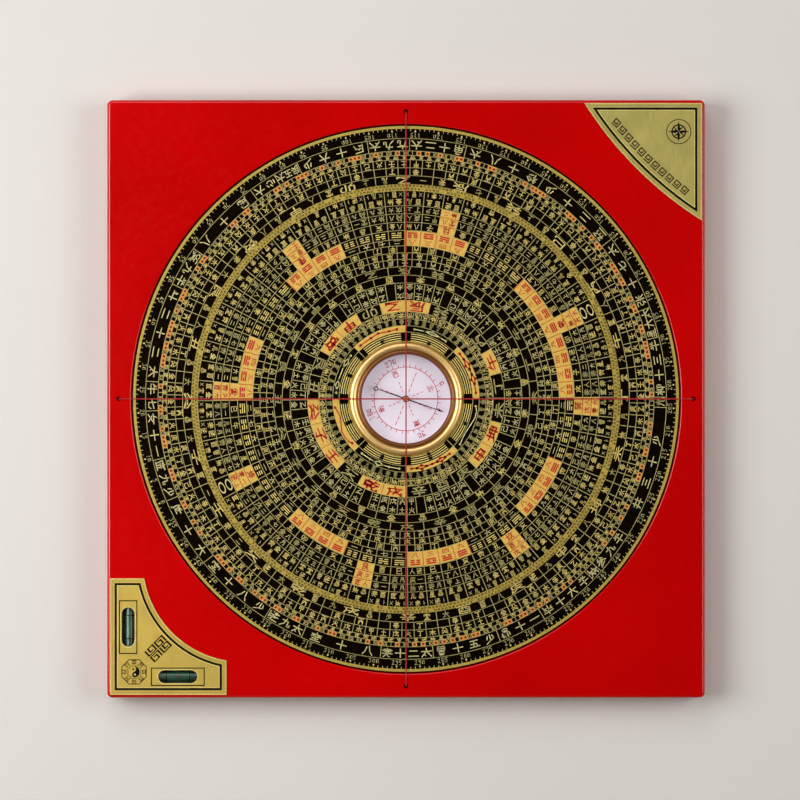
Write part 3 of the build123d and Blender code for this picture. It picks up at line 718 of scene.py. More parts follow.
def radial_bars_tree(name):
    """Adds a ring of evenly spaced radial bars to what comes in."""
    tree, given = geometry_tree(
        name, Count="Int", First_Angle="Float", Inner_Radius="Float", Outer_Radius="Float",
        Base_Height="Float", Width="Float", Relief="Float")

    def figure(operation, first, second=0.0):
        return calculate(tree, operation, first, second)

    step = figure("DIVIDE", 2 * pi, given["Count"])
    index = add_node(tree, "GeometryNodeInputIndex").outputs[0]
    angle = figure("ADD", figure("MULTIPLY", index, step), given["First Angle"])
    middle = figure("MULTIPLY", figure("ADD", given["Inner Radius"], given["Outer Radius"]), 0.5)
    reach = figure("SUBTRACT", given["Outer Radius"], given["Inner Radius"])
    place = combine(tree, figure("MULTIPLY", figure("SINE", angle), middle),
                    figure("MULTIPLY", figure("COSINE", angle), middle),
                    figure("ADD", given["Base Height"], figure("MULTIPLY", given["Relief"], 0.5)))
    points = add_node(tree, "GeometryNodePoints", {"Count": given["Count"], "Position": place})
    size = combine(tree, given["Width"], reach, given["Relief"])
    bar = add_node(tree, "GeometryNodeMeshCube", {"Size": size})
    bars = add_node(tree, "GeometryNodeInstanceOnPoints", {
        "Points": points.outputs[0], "Instance": bar.outputs[0],
        "Rotation": combine(tree, z=figure("MULTIPLY", angle, -1.0))})
    return end_geometry(tree, given, bars.outputs[0], given["Geometry"])


def circles_tree(name):
    """Draws a flat line round the axis for every point, at the radius that the point carries."""
    tree, given = geometry_tree(name, Sides="Int", Width="Float", Relief="Float")
    circle = add_node(tree, "GeometryNodeCurvePrimitiveCircle", {"Resolution": given["Sides"], "Radius": 1.0})
    radius = stored(tree, "radius")
    size = combine(tree, radius, radius, 1.0)
    circles = add_node(tree, "GeometryNodeInstanceOnPoints", {
        "Points": given["Geometry"], "Instance": circle.outputs[0], "Scale": size})
    real = add_node(tree, "GeometryNodeRealizeInstances", {"Geometry": circles.outputs[0]})
    upright = add_node(tree, "GeometryNodeSetCurveNormal", {"Curve": real.outputs[0]}, mode="Z_UP")
    section = add_node(tree, "GeometryNodeCurvePrimitiveQuadrilateral", {
        "Width": given["Width"], "Height": given["Relief"]})
    lines = add_node(tree, "GeometryNodeCurveToMesh", {
        "Curve": upright.outputs[0], "Profile Curve": section.outputs[0]})
    return end_geometry(tree, given, lines.outputs[0])


def grow(name, points, steps, body):
    """Plain mesh piece from points and a stack of geometry trees, each with its named inputs."""
    seed = bpy.data.objects.new(name + "_seed", points)
    bpy.context.scene.collection.objects.link(seed)
    for tree, values in steps:
        modifier = seed.modifiers.new(tree.name, "NODES")
        modifier.node_group = tree
        for socket in tree.interface.items_tree:
            if socket.in_out == "INPUT" and socket.name in values:
                modifier[socket.identifier] = values[socket.name]
    depsgraph = bpy.context.evaluated_depsgraph_get()
    made = bpy.data.meshes.new_from_object(seed.evaluated_get(depsgraph))
    bpy.data.objects.remove(seed)
    if not made.polygons:
        raise RuntimeError(name + " came out empty")
    made.name = name
    add_piece(name, made, None, body)


def point_mesh(name, spots, attributes):
    """Points with attributes: kind and one value for each point."""
    mesh = bpy.data.meshes.new(name)
    mesh.from_pydata(spots, [], [])
    for label, (kind, values) in attributes.items():
        attribute = mesh.attributes.new(label, kind, "POINT")
        key = "vector" if kind == "FLOAT_VECTOR" else "value"
        flat = [part for value in values for part in value] if key == "vector" else values
        attribute.data.foreach_set(key, flat)
    return mesh


def radial_bars(name, rings, height, width, relief, material):
    """Piece on the dial that holds rings of bars: count, first angle, inner and outer radius of each."""
    tree = built_once("Radial bars", radial_bars_tree)
    steps = [(tree, {
        "Count": count, "First Angle": radians(first_deg), "Inner Radius": inner, "Outer Radius": outer,
        "Base Height": height, "Width": width, "Relief": relief, "Finish": material,
    }) for count, first_deg, inner, outer in rings]
    grow(name, bpy.data.meshes.new(name), steps, "dial")


# Shapes that are stamped

STROKE_SHARES = {"plain": 0.1, "bold": 0.135}
GRID_SPAN = 8.9
GRID_HALF = 4
KEY = (
    (-0.42, -0.42), (0.42, -0.42), (0.42, 0.42), (-0.42, 0.42), (-0.42, -0.12), (0.12, -0.12), (0.12, 0.15),
)


def sign_shape(sign, width):
    """Unit shape of one sign, one unit high."""
    shape = Inlay(0.0, 1.0)
    if sign == "bar":
        shape.polygon([(-0.5, -0.5), (0.5, -0.5), (0.5, 0.5), (-0.5, 0.5)])
    elif sign == "dot":
        shape.disc((0, 0), 0.5, 10)
    elif sign == "loop":
        shape.ring(0.35, 0.48, 16)
    elif sign == "key":
        shape.strokes(KEY, width * 1.2)
    else:
        for run in STROKES[sign].split():
            places = [(int(digit) - GRID_HALF) / GRID_SPAN for digit in run]
            shape.strokes(list(zip(places[::2], places[1::2])), width)
    return shape


def shape_collection(weight):
    """Collection of every sign's shape in one weight, in the order of the list of signs."""
    name = "signs_" + weight
    if name not in bpy.data.collections:
        shapes = bpy.data.collections.new(name)
        for index, sign in enumerate(SIGNS):
            label = f"{weight}_{index:03d}"
            mesh = sign_shape(sign, STROKE_SHARES[weight]).mesh(label)
            shapes.objects.link(bpy.data.objects.new(label, mesh))
    return bpy.data.collections[name]


def drop_shapes():
    """Removes the stamped shapes once every piece is made."""
    for weight in STROKE_SHARES:
        shapes = shape_collection(weight)
        for shape in list(shapes.objects):
            bpy.data.objects.remove(shape)
        bpy.data.collections.remove(shapes)


def stamp(name, marks, weight, height, relief, material, body):
    """Piece that holds all marks of one ink and weight."""
    points = point_mesh(name, [(m.x, m.y, height) for m in marks], {
        "shape": ("INT", [SIGNS.index(m.shape) for m in marks]),
        "turn": ("FLOAT", [m.turn for m in marks]),
        "size": ("FLOAT_VECTOR", [(m.wide, m.tall, 0.0) for m in marks]),
    })
    values = {"Shapes": shape_collection(weight), "Relief": relief, "Finish": material}
    grow(name, points, [(built_once("Stamps", stamps_tree), values)], body)


def ring_mark(shape, angle_deg, radius, wide, tall, outwards=False):
    """Mark on a ring, its top towards the centre or outwards, its sizes in millimetres."""
    x, y = spot(angle_deg, radius)
    turn = -radians(angle_deg) + (0 if outwards else pi)
    return Mark(shape, x, y, turn, wide * MM, tall * MM)


def number_marks(value, angle_deg, radius, pitch_deg, wide, tall, outwards=False):
    """Figures of a number, side by side on a ring."""
    figures = str(value)
    middle = (len(figures) - 1) / 2
    return [ring_mark("digit" + figure, angle_deg + (i - middle) * pitch_deg, radius, wide, tall, outwards)
            for i, figure in enumerate(figures)]


# Shader groups: kind of the two ends, the noise's detail and roughness, and how far from its middle it counts
NOISES = {
    "Grain": ("Float", 4.0, 0.6, 0.16),
    "Turned": ("Float", 3.0, 0.5, 0.2),
    "Cloud": ("Color", 5.0, 0.62, 0.14),
}


def noise_group(name):
    """Group that runs between two ends by a noise: grain, rings of a turned piece, or drifting colours."""
    kind, detail, roughness, reach = NOISES[name]
    tree, given = start_tree(name, "ShaderNodeTree", [
        ("Vector", "Vector"), ("Scale", "Float"), ("First", kind), ("Second", kind)], [("Result", kind)])
    noise = {"Scale": given["Scale"], "Detail": detail, "Roughness": roughness}
    if name == "Turned":
        height = split(tree, given["Vector"])["Z"]
        noise["W"] = calculate(tree, "ADD", flat_radius(tree, given["Vector"]), height)
        value = add_node(tree, "ShaderNodeTexNoise", noise, noise_dimensions="1D").outputs[0]
    else:
        noise["Vector"] = given["Vector"]
        value = add_node(tree, "ShaderNodeTexNoise", noise).outputs[0]
    low, high = 0.5 - reach, 0.5 + reach
    if kind == "Float":
        result = map_range(tree, value, low, high, given["First"], given["Second"])
    else:
        result = mix_colours(tree, map_range(tree, value, low, high), given["First"], given["Second"])
    add_node(tree, "NodeGroupOutput", {"Result": result})
    return tree


# Materials

def shade(colour, share):
    """The same colour, darker or lighter."""
    return tuple(min(1.0, part * share) for part in colour)


class Finish:
    """A material under way: its tree, its shader and the object's coordinates.

    clouds are a scale and two shares of the colour, gloss is a scale and two roughnesses, and relief is a
    scale, a depth in millimetres and a strength; stretch draws out the coordinates of gloss and relief.
    """

    def __init__(self, name, colour, clouds=None, gloss=None, relief=None, pattern="Grain", stretch=None,
                 **values):
        self.material = bpy.data.materials.new(name)
        self.material.use_nodes = True
        self.material.diffuse_color = solid(colour)
        self.tree = self.material.node_tree
        self.shader = self.tree.nodes["Principled BSDF"]
        self.place = add_node(self.tree, "ShaderNodeTexCoord").outputs["Object"]
        self.set("Base Color", solid(colour))
        for label, value in values.items():
            self.set(label.replace("_", " "), value)
        if clouds:
            scale, light, dark = clouds
            self.clouded(scale, shade(colour, light), shade(colour, dark))
        if stretch:
            mapping = add_node(self.tree, "ShaderNodeMapping", {"Vector": self.place, "Scale": stretch})
            self.place = mapping.outputs[0]
        if gloss:
            self.set("Roughness", self.noise(pattern, *gloss))
        if relief:
            scale, depth, strength = relief
            self.bumped(self.noise(pattern, scale, 0.0, 1.0), depth, strength)

    def set(self, label, value):
        """Gives the shader's socket a value, or joins it."""
        if isinstance(value, bpy.types.NodeSocket):
            self.tree.links.new(value, self.shader.inputs[label])
        else:
            self.shader.inputs[label].default_value = value

    def noise(self, name, scale, first, second):
        """A noise group on the object's coordinates."""
        ends = {"Vector": self.place, "Scale": scale, "First": first, "Second": second}
        tree = built_once(name, noise_group)
        return add_node(self.tree, "ShaderNodeGroup", ends, node_tree=tree).outputs[0]

    def clouded(self, scale, first, second):
        """Base colour that drifts between two tones."""
        self.set("Base Color", self.noise("Cloud", scale, solid(first), solid(second)))

    def fading(self, first, second, low, high):
        """Base colour that changes with the distance from the upright axis."""
        share = map_range(self.tree, flat_radius(self.tree, self.place), low, high)
        self.set("Base Color", mix_colours(self.tree, share, solid(first), solid(second)))

    def bumped(self, height, depth, strength):
        """Small relief in the normals."""
        bump = add_node(self.tree, "ShaderNodeBump", {
            "Height": height, "Distance": depth * MM, "Strength": strength})
        self.set("Normal", bump.outputs["Normal"])


def red_lacquer(board):
    """Polished red lacquer with a slight orange peel."""
    finish = Finish(
        "red_lacquer", board.lacquer, None, (420.0, 0.16, 0.24), (260.0, 0.02, 0.25), IOR=1.45,
        Specular_IOR_Level=0.25, Coat_Weight=0.5, Coat_Roughness=board.gloss_roughness)
    finish.clouded(9.0, board.lacquer, board.lacquer_shade)
    return finish.material


def brushed_gold(name, colour):
    """Satin gold sheet with a brushed grain along one direction."""
    return Finish(name, colour, (60.0, 1.06, 0.88), (1500.0, 0.38, 0.55), (2200.0, 0.012, 0.5),
                  stretch=(1.0, 0.12, 1.0), Metallic=0.55).material


def enamel(name, colour, roughness=0.35, gloss=0.5):
    """Printed enamel: one colour with a slightly uneven gloss."""
    return Finish(name, colour, (700.0, 1.08, 0.85), (900.0, roughness - 0.07, roughness + 0.1),
                  Specular_IOR_Level=gloss).material


def gold_ink(name, colour, metallic=0.25):
    """Metallic ink whose flakes vary in tone."""
    return Finish(name, colour, (1400.0, 1.18, 0.78), (1800.0, 0.34, 0.52), (3000.0, 0.008, 0.4),
                  Metallic=metallic).material


def turned_metal(name, colour, low, high):
    """Metal turned on a lathe."""
    return Finish(name, colour, (90.0, 1.03, 0.94), (2600.0, low, high), (2600.0, 0.01, 0.35), "Turned",
                  Metallic=1.0).material


def bezel_metal():
    """Gold of the turned bezel under clear lacquer, painted brown in the groove and on the lip as shade that
    dims the lip's highlight.
    """
    # The inner brown is painted shade; the outer gold is the bezel's own colour
    inner, outer = tone(140, 92, 34), tone(255, 212, 136)
    finish = Finish("bezel_gold", outer, gloss=(1500.0, 0.4, 0.46), pattern="Turned", Metallic=1.0,
                    Coat_Weight=0.6, Coat_Roughness=0.25, Coat_IOR=1.6)
    finish.fading(inner, outer, BEZEL_GROOVE_RADIUS - 0.3 * MM, BEZEL_GROOVE_RADIUS + 0.9 * MM)
    return finish.material


def case_metal():
    """Brass of the case, painted white inside, above the card."""
    brass, white = tone(206, 170, 100), tone(232, 228, 230)
    finish = Finish("case_brass", brass, gloss=(2600.0, 0.3, 0.45), pattern="Turned")
    tree = finish.tree
    paint = calculate(tree, "GREATER_THAN", split(tree, finish.place)["Z"], CARD_LOW.z)
    finish.set("Base Color", mix_colours(tree, paint, solid(brass), solid(white)))
    finish.set("Metallic", calculate(tree, "SUBTRACT", 1.0, paint))
    return finish.material


def clear_glass(name, tint, ior, low, high):
    """Glass that lets lamps through, with faint smears in its gloss."""
    finish = Finish(name, tint, gloss=(60.0, low, high), IOR=ior, Transmission_Weight=1.0)
    tree = finish.tree
    path = add_node(tree, "ShaderNodeLightPath")
    clear = add_node(tree, "ShaderNodeBsdfTransparent", {"Color": solid(tint)})
    mixed = add_node(tree, "ShaderNodeMixShader", {
        0: path.outputs["Is Shadow Ray"], 1: finish.shader.outputs[0], 2: clear.outputs[0]})
    tree.links.new(mixed.outputs[0], tree.nodes["Material Output"].inputs["Surface"])
    return finish.material


def dial_ground(colour):
    """Black lacquered ground of the dial, slightly dusty."""
    return Finish("dial_ground", colour, (240.0, 1.3, 0.8), (500.0, 0.2, 0.3), Specular_IOR_Level=0.15,
                  Specular_Tint=solid(tone(255, 180, 110))).material


def card_stock(colour):
    """Smooth white card, painted lighter towards its edge to offset the shade that the bezel's lip casts
    there.
    """
    finish = Finish("card_stock", colour, None, (1500.0, 0.45, 0.6), (4000.0, 0.01, 0.4))
    # Painted light: a fifth lighter from half the radius to the edge, against the lip's shadow
    finish.fading(colour, shade(colour, 1.2), CARD_RADIUS * 0.5, CARD_RADIUS)
    return finish.material


def thread_fibre():
    """Twisted red thread: slanting strands and a fibrous sheen."""
    finish = Finish("thread_fibre", tone(176, 8, 14), (1600.0, 1.3, 0.7), Roughness=0.7, Sheen_Weight=0.12)
    tree = finish.tree
    place = split(tree, finish.place)
    along = calculate(tree, "ADD", calculate(tree, "ADD", place["X"], place["Y"]), place["Z"])
    finish.bumped(calculate(tree, "SINE", calculate(tree, "MULTIPLY", along, 5200.0)), 0.06, 0.8)
    return finish.material


def felt_fibre():
    """Pressed felt."""
    return Finish("felt_fibre", tone(62, 60, 54), (1100.0, 1.4, 0.7), None, (2400.0, 0.15, 0.9),
                  Roughness=0.95, Sheen_Weight=0.5).material


def rubber(name, colour):
    """Matte rubber or plastic."""
    return Finish(name, colour, (500.0, 1.15, 0.85), (1200.0, 0.5, 0.68)).material


def level_liquid(name, colour):
    """Tinted level liquid or the air in it."""
    return Finish(name, colour, (220.0, 1.1, 0.85), (300.0, 0.4, 0.5), IOR=1.33).material


def blued_steel():
    """Needle steel, blued by heat."""
    finish = Finish("blued_steel", tone(30, 30, 44), gloss=(1600.0, 0.22, 0.36), Metallic=0.9)
    finish.clouded(900.0, tone(34, 34, 52), tone(20, 20, 26))
    return finish.material


def finish_nodes(material, *nodes):
    """Gives nodes of the frame their material."""
    for node in nodes:
        mesh = frame["nodes"][node].data
        mesh.materials.clear()
        mesh.materials.append(material)


# Print of the dial

def dial(share):
    """Radius of a ring, from its share of the dial."""
    return share * DIAL_RADIUS


def radii(ring):
    """Inner and outer radius of a ring of the dial."""
    return [dial(share) for share in RINGS[ring]]


def middle_radius(ring):
    """Radius halfway between a ring's edges."""
    return sum(radii(ring)) / 2


def cell_mark(sign, angle_deg, ring, wide, tall):
    """Mark in the middle of a ring."""
    return ring_mark(sign, angle_deg, middle_radius(ring), wide, tall)


def row_marks(row, draw):
    """Marks of one ring of single characters."""
    marks = []
    for i in range(row.count):
        if draw.random() < row.filled:
            angle = row.first_deg + 360 / row.count * i
            marks.append(cell_mark(draw.choice(row.signs), angle, row.ring, row.wide, row.tall))
    return marks


def mansion_marks():
    """Names and extents of the mansions, read with their tops to the centre."""
    marks = []
    ends = [start for start, _ in MANSIONS[1:]] + [MANSIONS[0][0] + 360]
    for (start, signs), end in zip(MANSIONS, ends):
        pitch = (end - start) / len(signs)
        wide = min(5.1, radians(pitch) * middle_radius("mansion") / MM * 0.95)
        for i, sign in enumerate(signs):
            if sign != "-":
                marks.append(cell_mark(sign, end - pitch * (i + 0.5), "mansion", wide, 4.4))
    return marks


def degree_marks():
    """Numbers of the degree ring, and the dot at each of their ticks."""
    marks, dots = [], []
    for degree in range(0, 360, 5):
        angle = NORTH_DEG + degree
        marks += number_marks(degree, angle, middle_radius("degree"), -0.8, 1.65, 2.15)
        dots.append(cell_mark("dot", angle, "degree dot", 0.85, 0.85))
    return marks, dots


def small_cell_marks():
    """Marks in the ring of 360 small cells: red dots in the orange ones, gold loops in some of the others."""
    marked = [angle for first, last in ORANGE_RUNS for angle in range(first, last + 1)]
    others = [angle for angle in range(360) if angle not in marked and angle * 7 % 15 < 6]
    red = [cell_mark("dot", angle, "small cell", 1.2, 1.2) for angle in marked]
    return red, [cell_mark("loop", angle, "small cell", 1.5, 1.5) for angle in others]


def division_marks(first_deg, ring, wide, tall):
    """Second and fourth of the five divisions of each mountain, two stems that change every two mountains."""
    marks = []
    for mountain in range(24):
        stems = ("ding", "xin") if mountain // 2 % 2 else ("bing", "geng")
        for stem, offset in zip(stems, (4.5, 10.5)):
            marks.append(cell_mark(stem, first_deg + MOUNTAIN_DEG * mountain + offset, ring, wide, tall))
    return marks


def mountain_row(shift_deg, ring, wide, tall):
    """The twenty-four mountains, shifted by an angle."""
    first = FIRST_MOUNTAIN_DEG + shift_deg
    return [cell_mark(sign, first + MOUNTAIN_DEG * (i + 0.5), ring, wide, tall)
            for i, sign in enumerate(MOUNTAINS)]


def outer_marks(draw):
    """Rings between the small cells and the gold band: even marks, and the two beside each big mountain."""
    even, open_signs, full_signs = [], [], []
    for cell in range(120):
        signs = ELEMENTS if cell % 2 else STEMS
        even.append(cell_mark(draw.choice(signs), 2.5 + 3 * cell, "even mark", 2.9, 3.0))
    for mountain in range(24):
        for offset, signs, marks in ((5.0, OPEN_SIGNS, open_signs), (10.0, DENSE_SIGNS, full_signs)):
            angle = FIRST_MOUNTAIN_DEG + MOUNTAIN_DEG * mountain + offset
            marks.append(cell_mark(draw.choice(signs), angle, "beside mountain", 3.0, 3.2))
    return even, open_signs, full_signs


def trigram_pair(column):
    """Places of a column's upper and lower trigram in the list of trigrams."""
    ahead = (column - SOUTH_COLUMN) % COLUMNS
    behind = COLUMNS - 1 - ahead
    return (ahead % 8, 4 + ahead // 8) if ahead < behind else (behind % 8, behind // 8)


def trigram_lines(place):
    """The three lines of a trigram from the top down, true where the line is whole."""
    return [bool(7 - place >> line & 1) for line in range(3)]


# Columns whose lower cells are filled, and those that pair a trigram with itself, filled to their upper cells
YELLOW_COLUMNS = [column for column in range(COLUMNS) if trigram_pair(column)[0] < 4]
TALL_COLUMNS = [column for column in range(COLUMNS) if len(set(trigram_pair(column))) == 1]
# How far from a column's middle its marks stand: beside it, at its edges, and the halves of a broken line
BESIDE_DEG = 1.2
EDGE_DEG = 1.8
BROKEN_LINE_DEG = 1.03


def column_marks(draw):
    """Characters and trigrams of the 64 columns, by ink."""
    marks = {ink: [] for ink in ("gold", "pale", "dull", "red", "faint", "bright", "bars", "red_bars")}

    def put(ink, signs, angle, ring, wide, tall):
        sign = signs if isinstance(signs, str) else draw.choice(signs)
        marks[ink].append(cell_mark(sign, angle, ring, wide, tall))

    for column in range(COLUMNS):
        middle = FIRST_MOUNTAIN_DEG + COLUMN_DEG * (column + 0.5)
        upper = trigram_pair(column)[0]
        tall, yellow = column in TALL_COLUMNS, column in YELLOW_COLUMNS
        if tall and upper in (0, 7):
            put("pale", "loop", middle, "column inner loop", 6.2, 3.0)
            put("pale", "loop", middle, "column outer loop", 6.2, 3.0)
        else:
            if column % 5 == 4:
                put("gold", DENSE_SIGNS, middle, "column top", 2.6, 2.7)
            else:
                put("pale", "cross", middle + EDGE_DEG, "column top", 1.5, 1.8)
                put("gold", DENSE_SIGNS, middle, "column top", 2.4, 2.7)
                put("pale", "side", middle - EDGE_DEG, "column top", 1.5, 2.0)
            for offset in (-1.2, 1.25):
                put("bright", DENSE_SIGNS, middle + offset, "column pair", 2.7, 2.7)
        for ring in ("column upper", "column lower"):
            put("red" if tall else "dull", STEMS + DENSE_SIGNS, middle + BESIDE_DEG, ring, 2.7, 2.8)
            put("red" if tall else "pale", OPEN_SIGNS, middle - BESIDE_DEG, ring, 2.4, 2.4)
        if tall:
            put("red", TRIGRAMS[upper], middle, "column name", 3.4, 3.4)
        elif column in PAIRED_NAMES:
            put("pale", OPEN_SIGNS, middle + BESIDE_DEG, "column name", 2.4, 2.6)
            put("gold", DENSE_SIGNS, middle - BESIDE_DEG, "column name", 2.4, 2.6)
        else:
            put("gold", DENSE_SIGNS + BRANCHES, middle, "column name", 3.0, 2.9)
        numeral = NUMERALS[TRIGRAM_NUMBERS[upper] - 1]
        put("faint" if yellow else "pale", numeral, middle, "column numeral", 3.3, 2.4)
        for line, whole in enumerate(trigram_lines(upper)):
            radius = dial(TRIGRAM_LINE_SHARE + TRIGRAM_LINE_STEP * line)
            wide, thick = 4.6 if whole else 1.9, 0.72 if yellow else 0.46
            for part in (0,) if whole else (-1, 1):
                bar = ring_mark("bar", middle + part * BROKEN_LINE_DEG, radius, wide, thick)
                marks["red_bars" if yellow else "bars"].append(bar)
    return marks


def five_stems():
    """Each branch with the places of its five stems: branch, place from 0 to 4, stem."""
    return [(branch, k, (branch + 2 * k) % 10) for branch in range(12) for k in range(5)]


def dragon_marks():
    """Seventy-two cells, five to each branch: a stem and the element of its pair; every sixth is blank."""
    stems, sounds = [], []
    for branch, k, stem in five_stems():
        angle = NORTH_DEG + 30 * branch + 5 * (k - 2)
        pair = (6 * stem - 5 * branch) % 60
        stems.append(cell_mark(STEMS[stem], angle, "dragon", 3.1, 3.0))
        sounds.append(cell_mark(SOUNDS[pair // 2 % 15], angle, "sound", 2.9, 2.9))
    return stems + sounds


def sixty_marks():
    """Sixty cells, five to each branch: a stem in one ring and its branch in the next."""
    stems, branches = [], []
    for cell, (branch, _, stem) in enumerate(five_stems()):
        angle = NORTH_DEG - 19.5 + 6 * cell
        stems.append(cell_mark(STEMS[stem], angle, "stem", 2.9, 2.8))
        branches.append(cell_mark(BRANCHES[branch], angle, "branch", 2.9, 2.5))
    return stems, branches


def runs_of(members):
    """Runs of neighbouring cells, as first and last."""
    runs = []
    for cell in members:
        if runs and runs[-1][1] == cell - 1:
            runs[-1][1] = cell
        else:
            runs.append([cell, cell])
    return runs


def yellow_fields(printing):
    """Filled cells of the columns, the mountains and the stars."""
    fields = Inlay(FACE_Z, printing.field_relief)

    def fill(runs, unit_deg, ring, origin_deg=FIRST_MOUNTAIN_DEG):
        for first, last in runs:
            start = origin_deg + unit_deg * first
            fields.band(*radii(ring), start, start + unit_deg * (last + 1 - first))

    fill(runs_of(YELLOW_COLUMNS), COLUMN_DEG, "yellow")
    fill([(column, column) for column in TALL_COLUMNS], COLUMN_DEG, "tall yellow")
    fill(runs_of(YELLOW_MOUNTAINS), MOUNTAIN_DEG, "mountain")
    fill([(cell, cell) for cell in YELLOW_STARS], 45, "star", 0)
    return fields


def field_lines(printing):
    """Orange lines that part the filled cells."""
    lines = Inlay(FACE_Z, printing.mark_relief)
    half = 0.22 * MM
    for column in TALL_COLUMNS:
        start = FIRST_MOUNTAIN_DEG + COLUMN_DEG * column
        for radius in radii("column lower"):
            lines.band(radius - half, radius + half, start, start + COLUMN_DEG)
    for column in YELLOW_COLUMNS:
        angle = FIRST_MOUNTAIN_DEG + COLUMN_DEG * column
        lines.path([spot(angle, radius) for radius in radii("yellow line")], 0.42 * MM)
    for first, last in runs_of(YELLOW_MOUNTAINS):
        for cell in range(first + 1, last + 1):
            angle = FIRST_MOUNTAIN_DEG + MOUNTAIN_DEG * cell
            lines.path([spot(angle, radius) for radius in radii("mountain line")], printing.divider_width)
    return lines


def star_figures(printing, cells, width, dot):
    """Star figures of some of the eight cells: lines between dots, or a smooth line."""
    figures = Inlay(FACE_Z, printing.mark_relief)
    middle = middle_radius("star")
    for cell in cells:
        for run in STAR_FIGURES[cell]:
            spots = [spot(angle, middle + lift * dial(STAR_LIFT_SHARE)) for angle, lift in run]
            figures.strokes(spots, width)
            for place in (spots[0], spots[-1]) if cell in SMOOTH_FIGURES else spots:
                figures.disc(place, dot, 10)
    return figures


INNER_CELL_DEG = 45
INNER_MARGIN_DEG = 4.6
INNER_GAP_DEG = 1.7


def inner_trigrams(printing):
    """Trigrams of the innermost ring: four lines bound three bars, and black blocks part the broken ones."""
    lines = Inlay(FACE_Z, printing.mark_relief)
    blocks = Inlay(FACE_Z, printing.mark_relief * 1.5)
    inner, outer = radii("trigram")
    width = 0.42 * MM
    pitch = (outer - inner - width) / 3
    for cell, place in enumerate(INNER_TRIGRAMS):
        start = INNER_CELL_DEG * cell + INNER_MARGIN_DEG
        end = INNER_CELL_DEG * (cell + 1) - INNER_MARGIN_DEG
        middle = (start + end) / 2
        for row in range(4):
            lines.band(inner + pitch * row, inner + pitch * row + width, start, end)
        for row, whole in enumerate(trigram_lines(place)):
            if not whole:
                edge = inner + pitch * row + width / 2
                blocks.band(edge - 0.15 * pitch, edge + 1.15 * pitch, middle - INNER_GAP_DEG,
                            middle + INNER_GAP_DEG)
    return lines, blocks


# Plates

EMBLEM_MIDDLE = Vector((-130.0, -130.5)) * MM
EMBLEM_RADIUS = 6.3 * MM
EMBLEM_LEAN_DEG = -18.0
EMBLEM_EYE_OFFSET = 1.36 * MM
# Shares of the emblem's radius
EMBLEM_INNER_LINE = 0.55
EMBLEM_FIGURE = 0.43
EMBLEM_FIRST_BAR = 0.63
EMBLEM_BAR_STEP = 0.11
# Ends of a bar's parts along its side, whole and broken
BAR_PARTS = {True: [(-1.1, 1.1)], False: [(-1.1, -0.25), (0.25, 1.1)]}
FRET_MIDDLE = Vector((-118.5, -119.4)) * MM
FRET_STEP = Vector((1.85, 3.1))
ROSE_MIDDLE = Vector((130.4, 127.8)) * MM
ROSE_RADIUS = 5.2 * MM
MEANDER_START = Vector((101.2, 132.4)) * MM
MEANDER_END = Vector((133.6, 100.4)) * MM
MEANDER_INSET = 7.2 * MM
# Length and width of the painted highlight round each window
WINDOW_RIM = (19.3 * MM, 6.8 * MM)


def level_outline(plates, inset):
    """Outline of the level plate, drawn in by an inset, anticlockwise."""
    side = LEVEL_HIGH.x - LEVEL_LOW.x
    half_chord = (side - plates.level_end) / sqrt(2)
    centre = (side + plates.level_end) / 2 + sqrt(plates.level_arc**2 - half_chord**2) / sqrt(2)
    radius = plates.level_arc + inset
    reach = side - inset
    depth = centre - sqrt(radius**2 - (reach - centre)**2)
    bow = arc_points(Vector((centre, centre)), radius, Vector((reach, depth)), Vector((depth, reach)), 24)
    points = [Vector((inset, reach)), Vector((inset, inset)), Vector((reach, inset)), *bow]
    return [LEVEL_LOW.xy + point for point in points]


def corner_bow(plates):
    """Middle of the corner plate's bulging side, as seen from the plate's corner along each side."""
    side = CORNER_HIGH.x - CORNER_LOW.x
    half_chord = side / sqrt(2)
    return -side / 2 + sqrt(plates.corner_arc**2 - half_chord**2) / sqrt(2)


def corner_outline(plates, inset):
    """Outline of the corner plate, drawn in by an inset, anticlockwise."""
    centre = corner_bow(plates)
    radius = plates.corner_arc - inset
    depth = centre - sqrt(radius**2 - (centre + inset)**2)
    bow = arc_points(Vector((centre, centre)), radius, Vector((depth, -inset)), Vector((-inset, depth)), 24)
    return [CORNER_HIGH.xy + point for point in [Vector((-inset, -inset)), *bow]]


def window_places(plates):
    """Middle and direction of the two windows."""
    near, far = plates.window_inset, plates.window_reach
    return ((LEVEL_LOW.xy + Vector((far, near)), Vector((1, 0))),
            (LEVEL_LOW.xy + Vector((near, far)), Vector((0, 1))))


def stadium(middle, along, length, width, steps=12):
    """Outline of a slot with round ends, anticlockwise."""
    radius = width / 2
    reach = (length - width) / 2
    points = []
    for side in (1, -1):
        for i in range(steps + 1):
            turn = pi * (i / steps - 0.5)
            offset = along * (reach + radius * cos(turn)) + along.orthogonal() * radius * sin(turn)
            points.append(middle + side * offset)
    return points


def rectangle(middle, along, length, width):
    """Corners of a rectangle, anticlockwise."""
    reach, half = along * length / 2, along.orthogonal() * width / 2
    return [middle - reach - half, middle + reach - half, middle + reach + half, middle - reach + half]


def yin_yang(inlay, middle, radius):
    """Dark drop of a circle of two drops, with the light drop's dark eye."""
    steps = 20
    half = radius / 2
    top, bottom = middle + spot(EMBLEM_LEAN_DEG, half), middle - spot(EMBLEM_LEAN_DEG, half)
    outer = [middle + spot(EMBLEM_LEAN_DEG + 180 * i / steps, radius) for i in range(steps + 1)]
    inner = [top + spot(EMBLEM_LEAN_DEG + 360 * i / steps, half) for i in range(steps // 2 + 1)]
    inner += [bottom + spot(EMBLEM_LEAN_DEG - 360 * i / steps, half) for i in range(1, steps // 2 + 1)]
    inlay.ribbon(outer, inner)
    inlay.ring(radius - radius * 0.06, radius, 40, middle)
    inlay.disc(top, radius * 0.18)


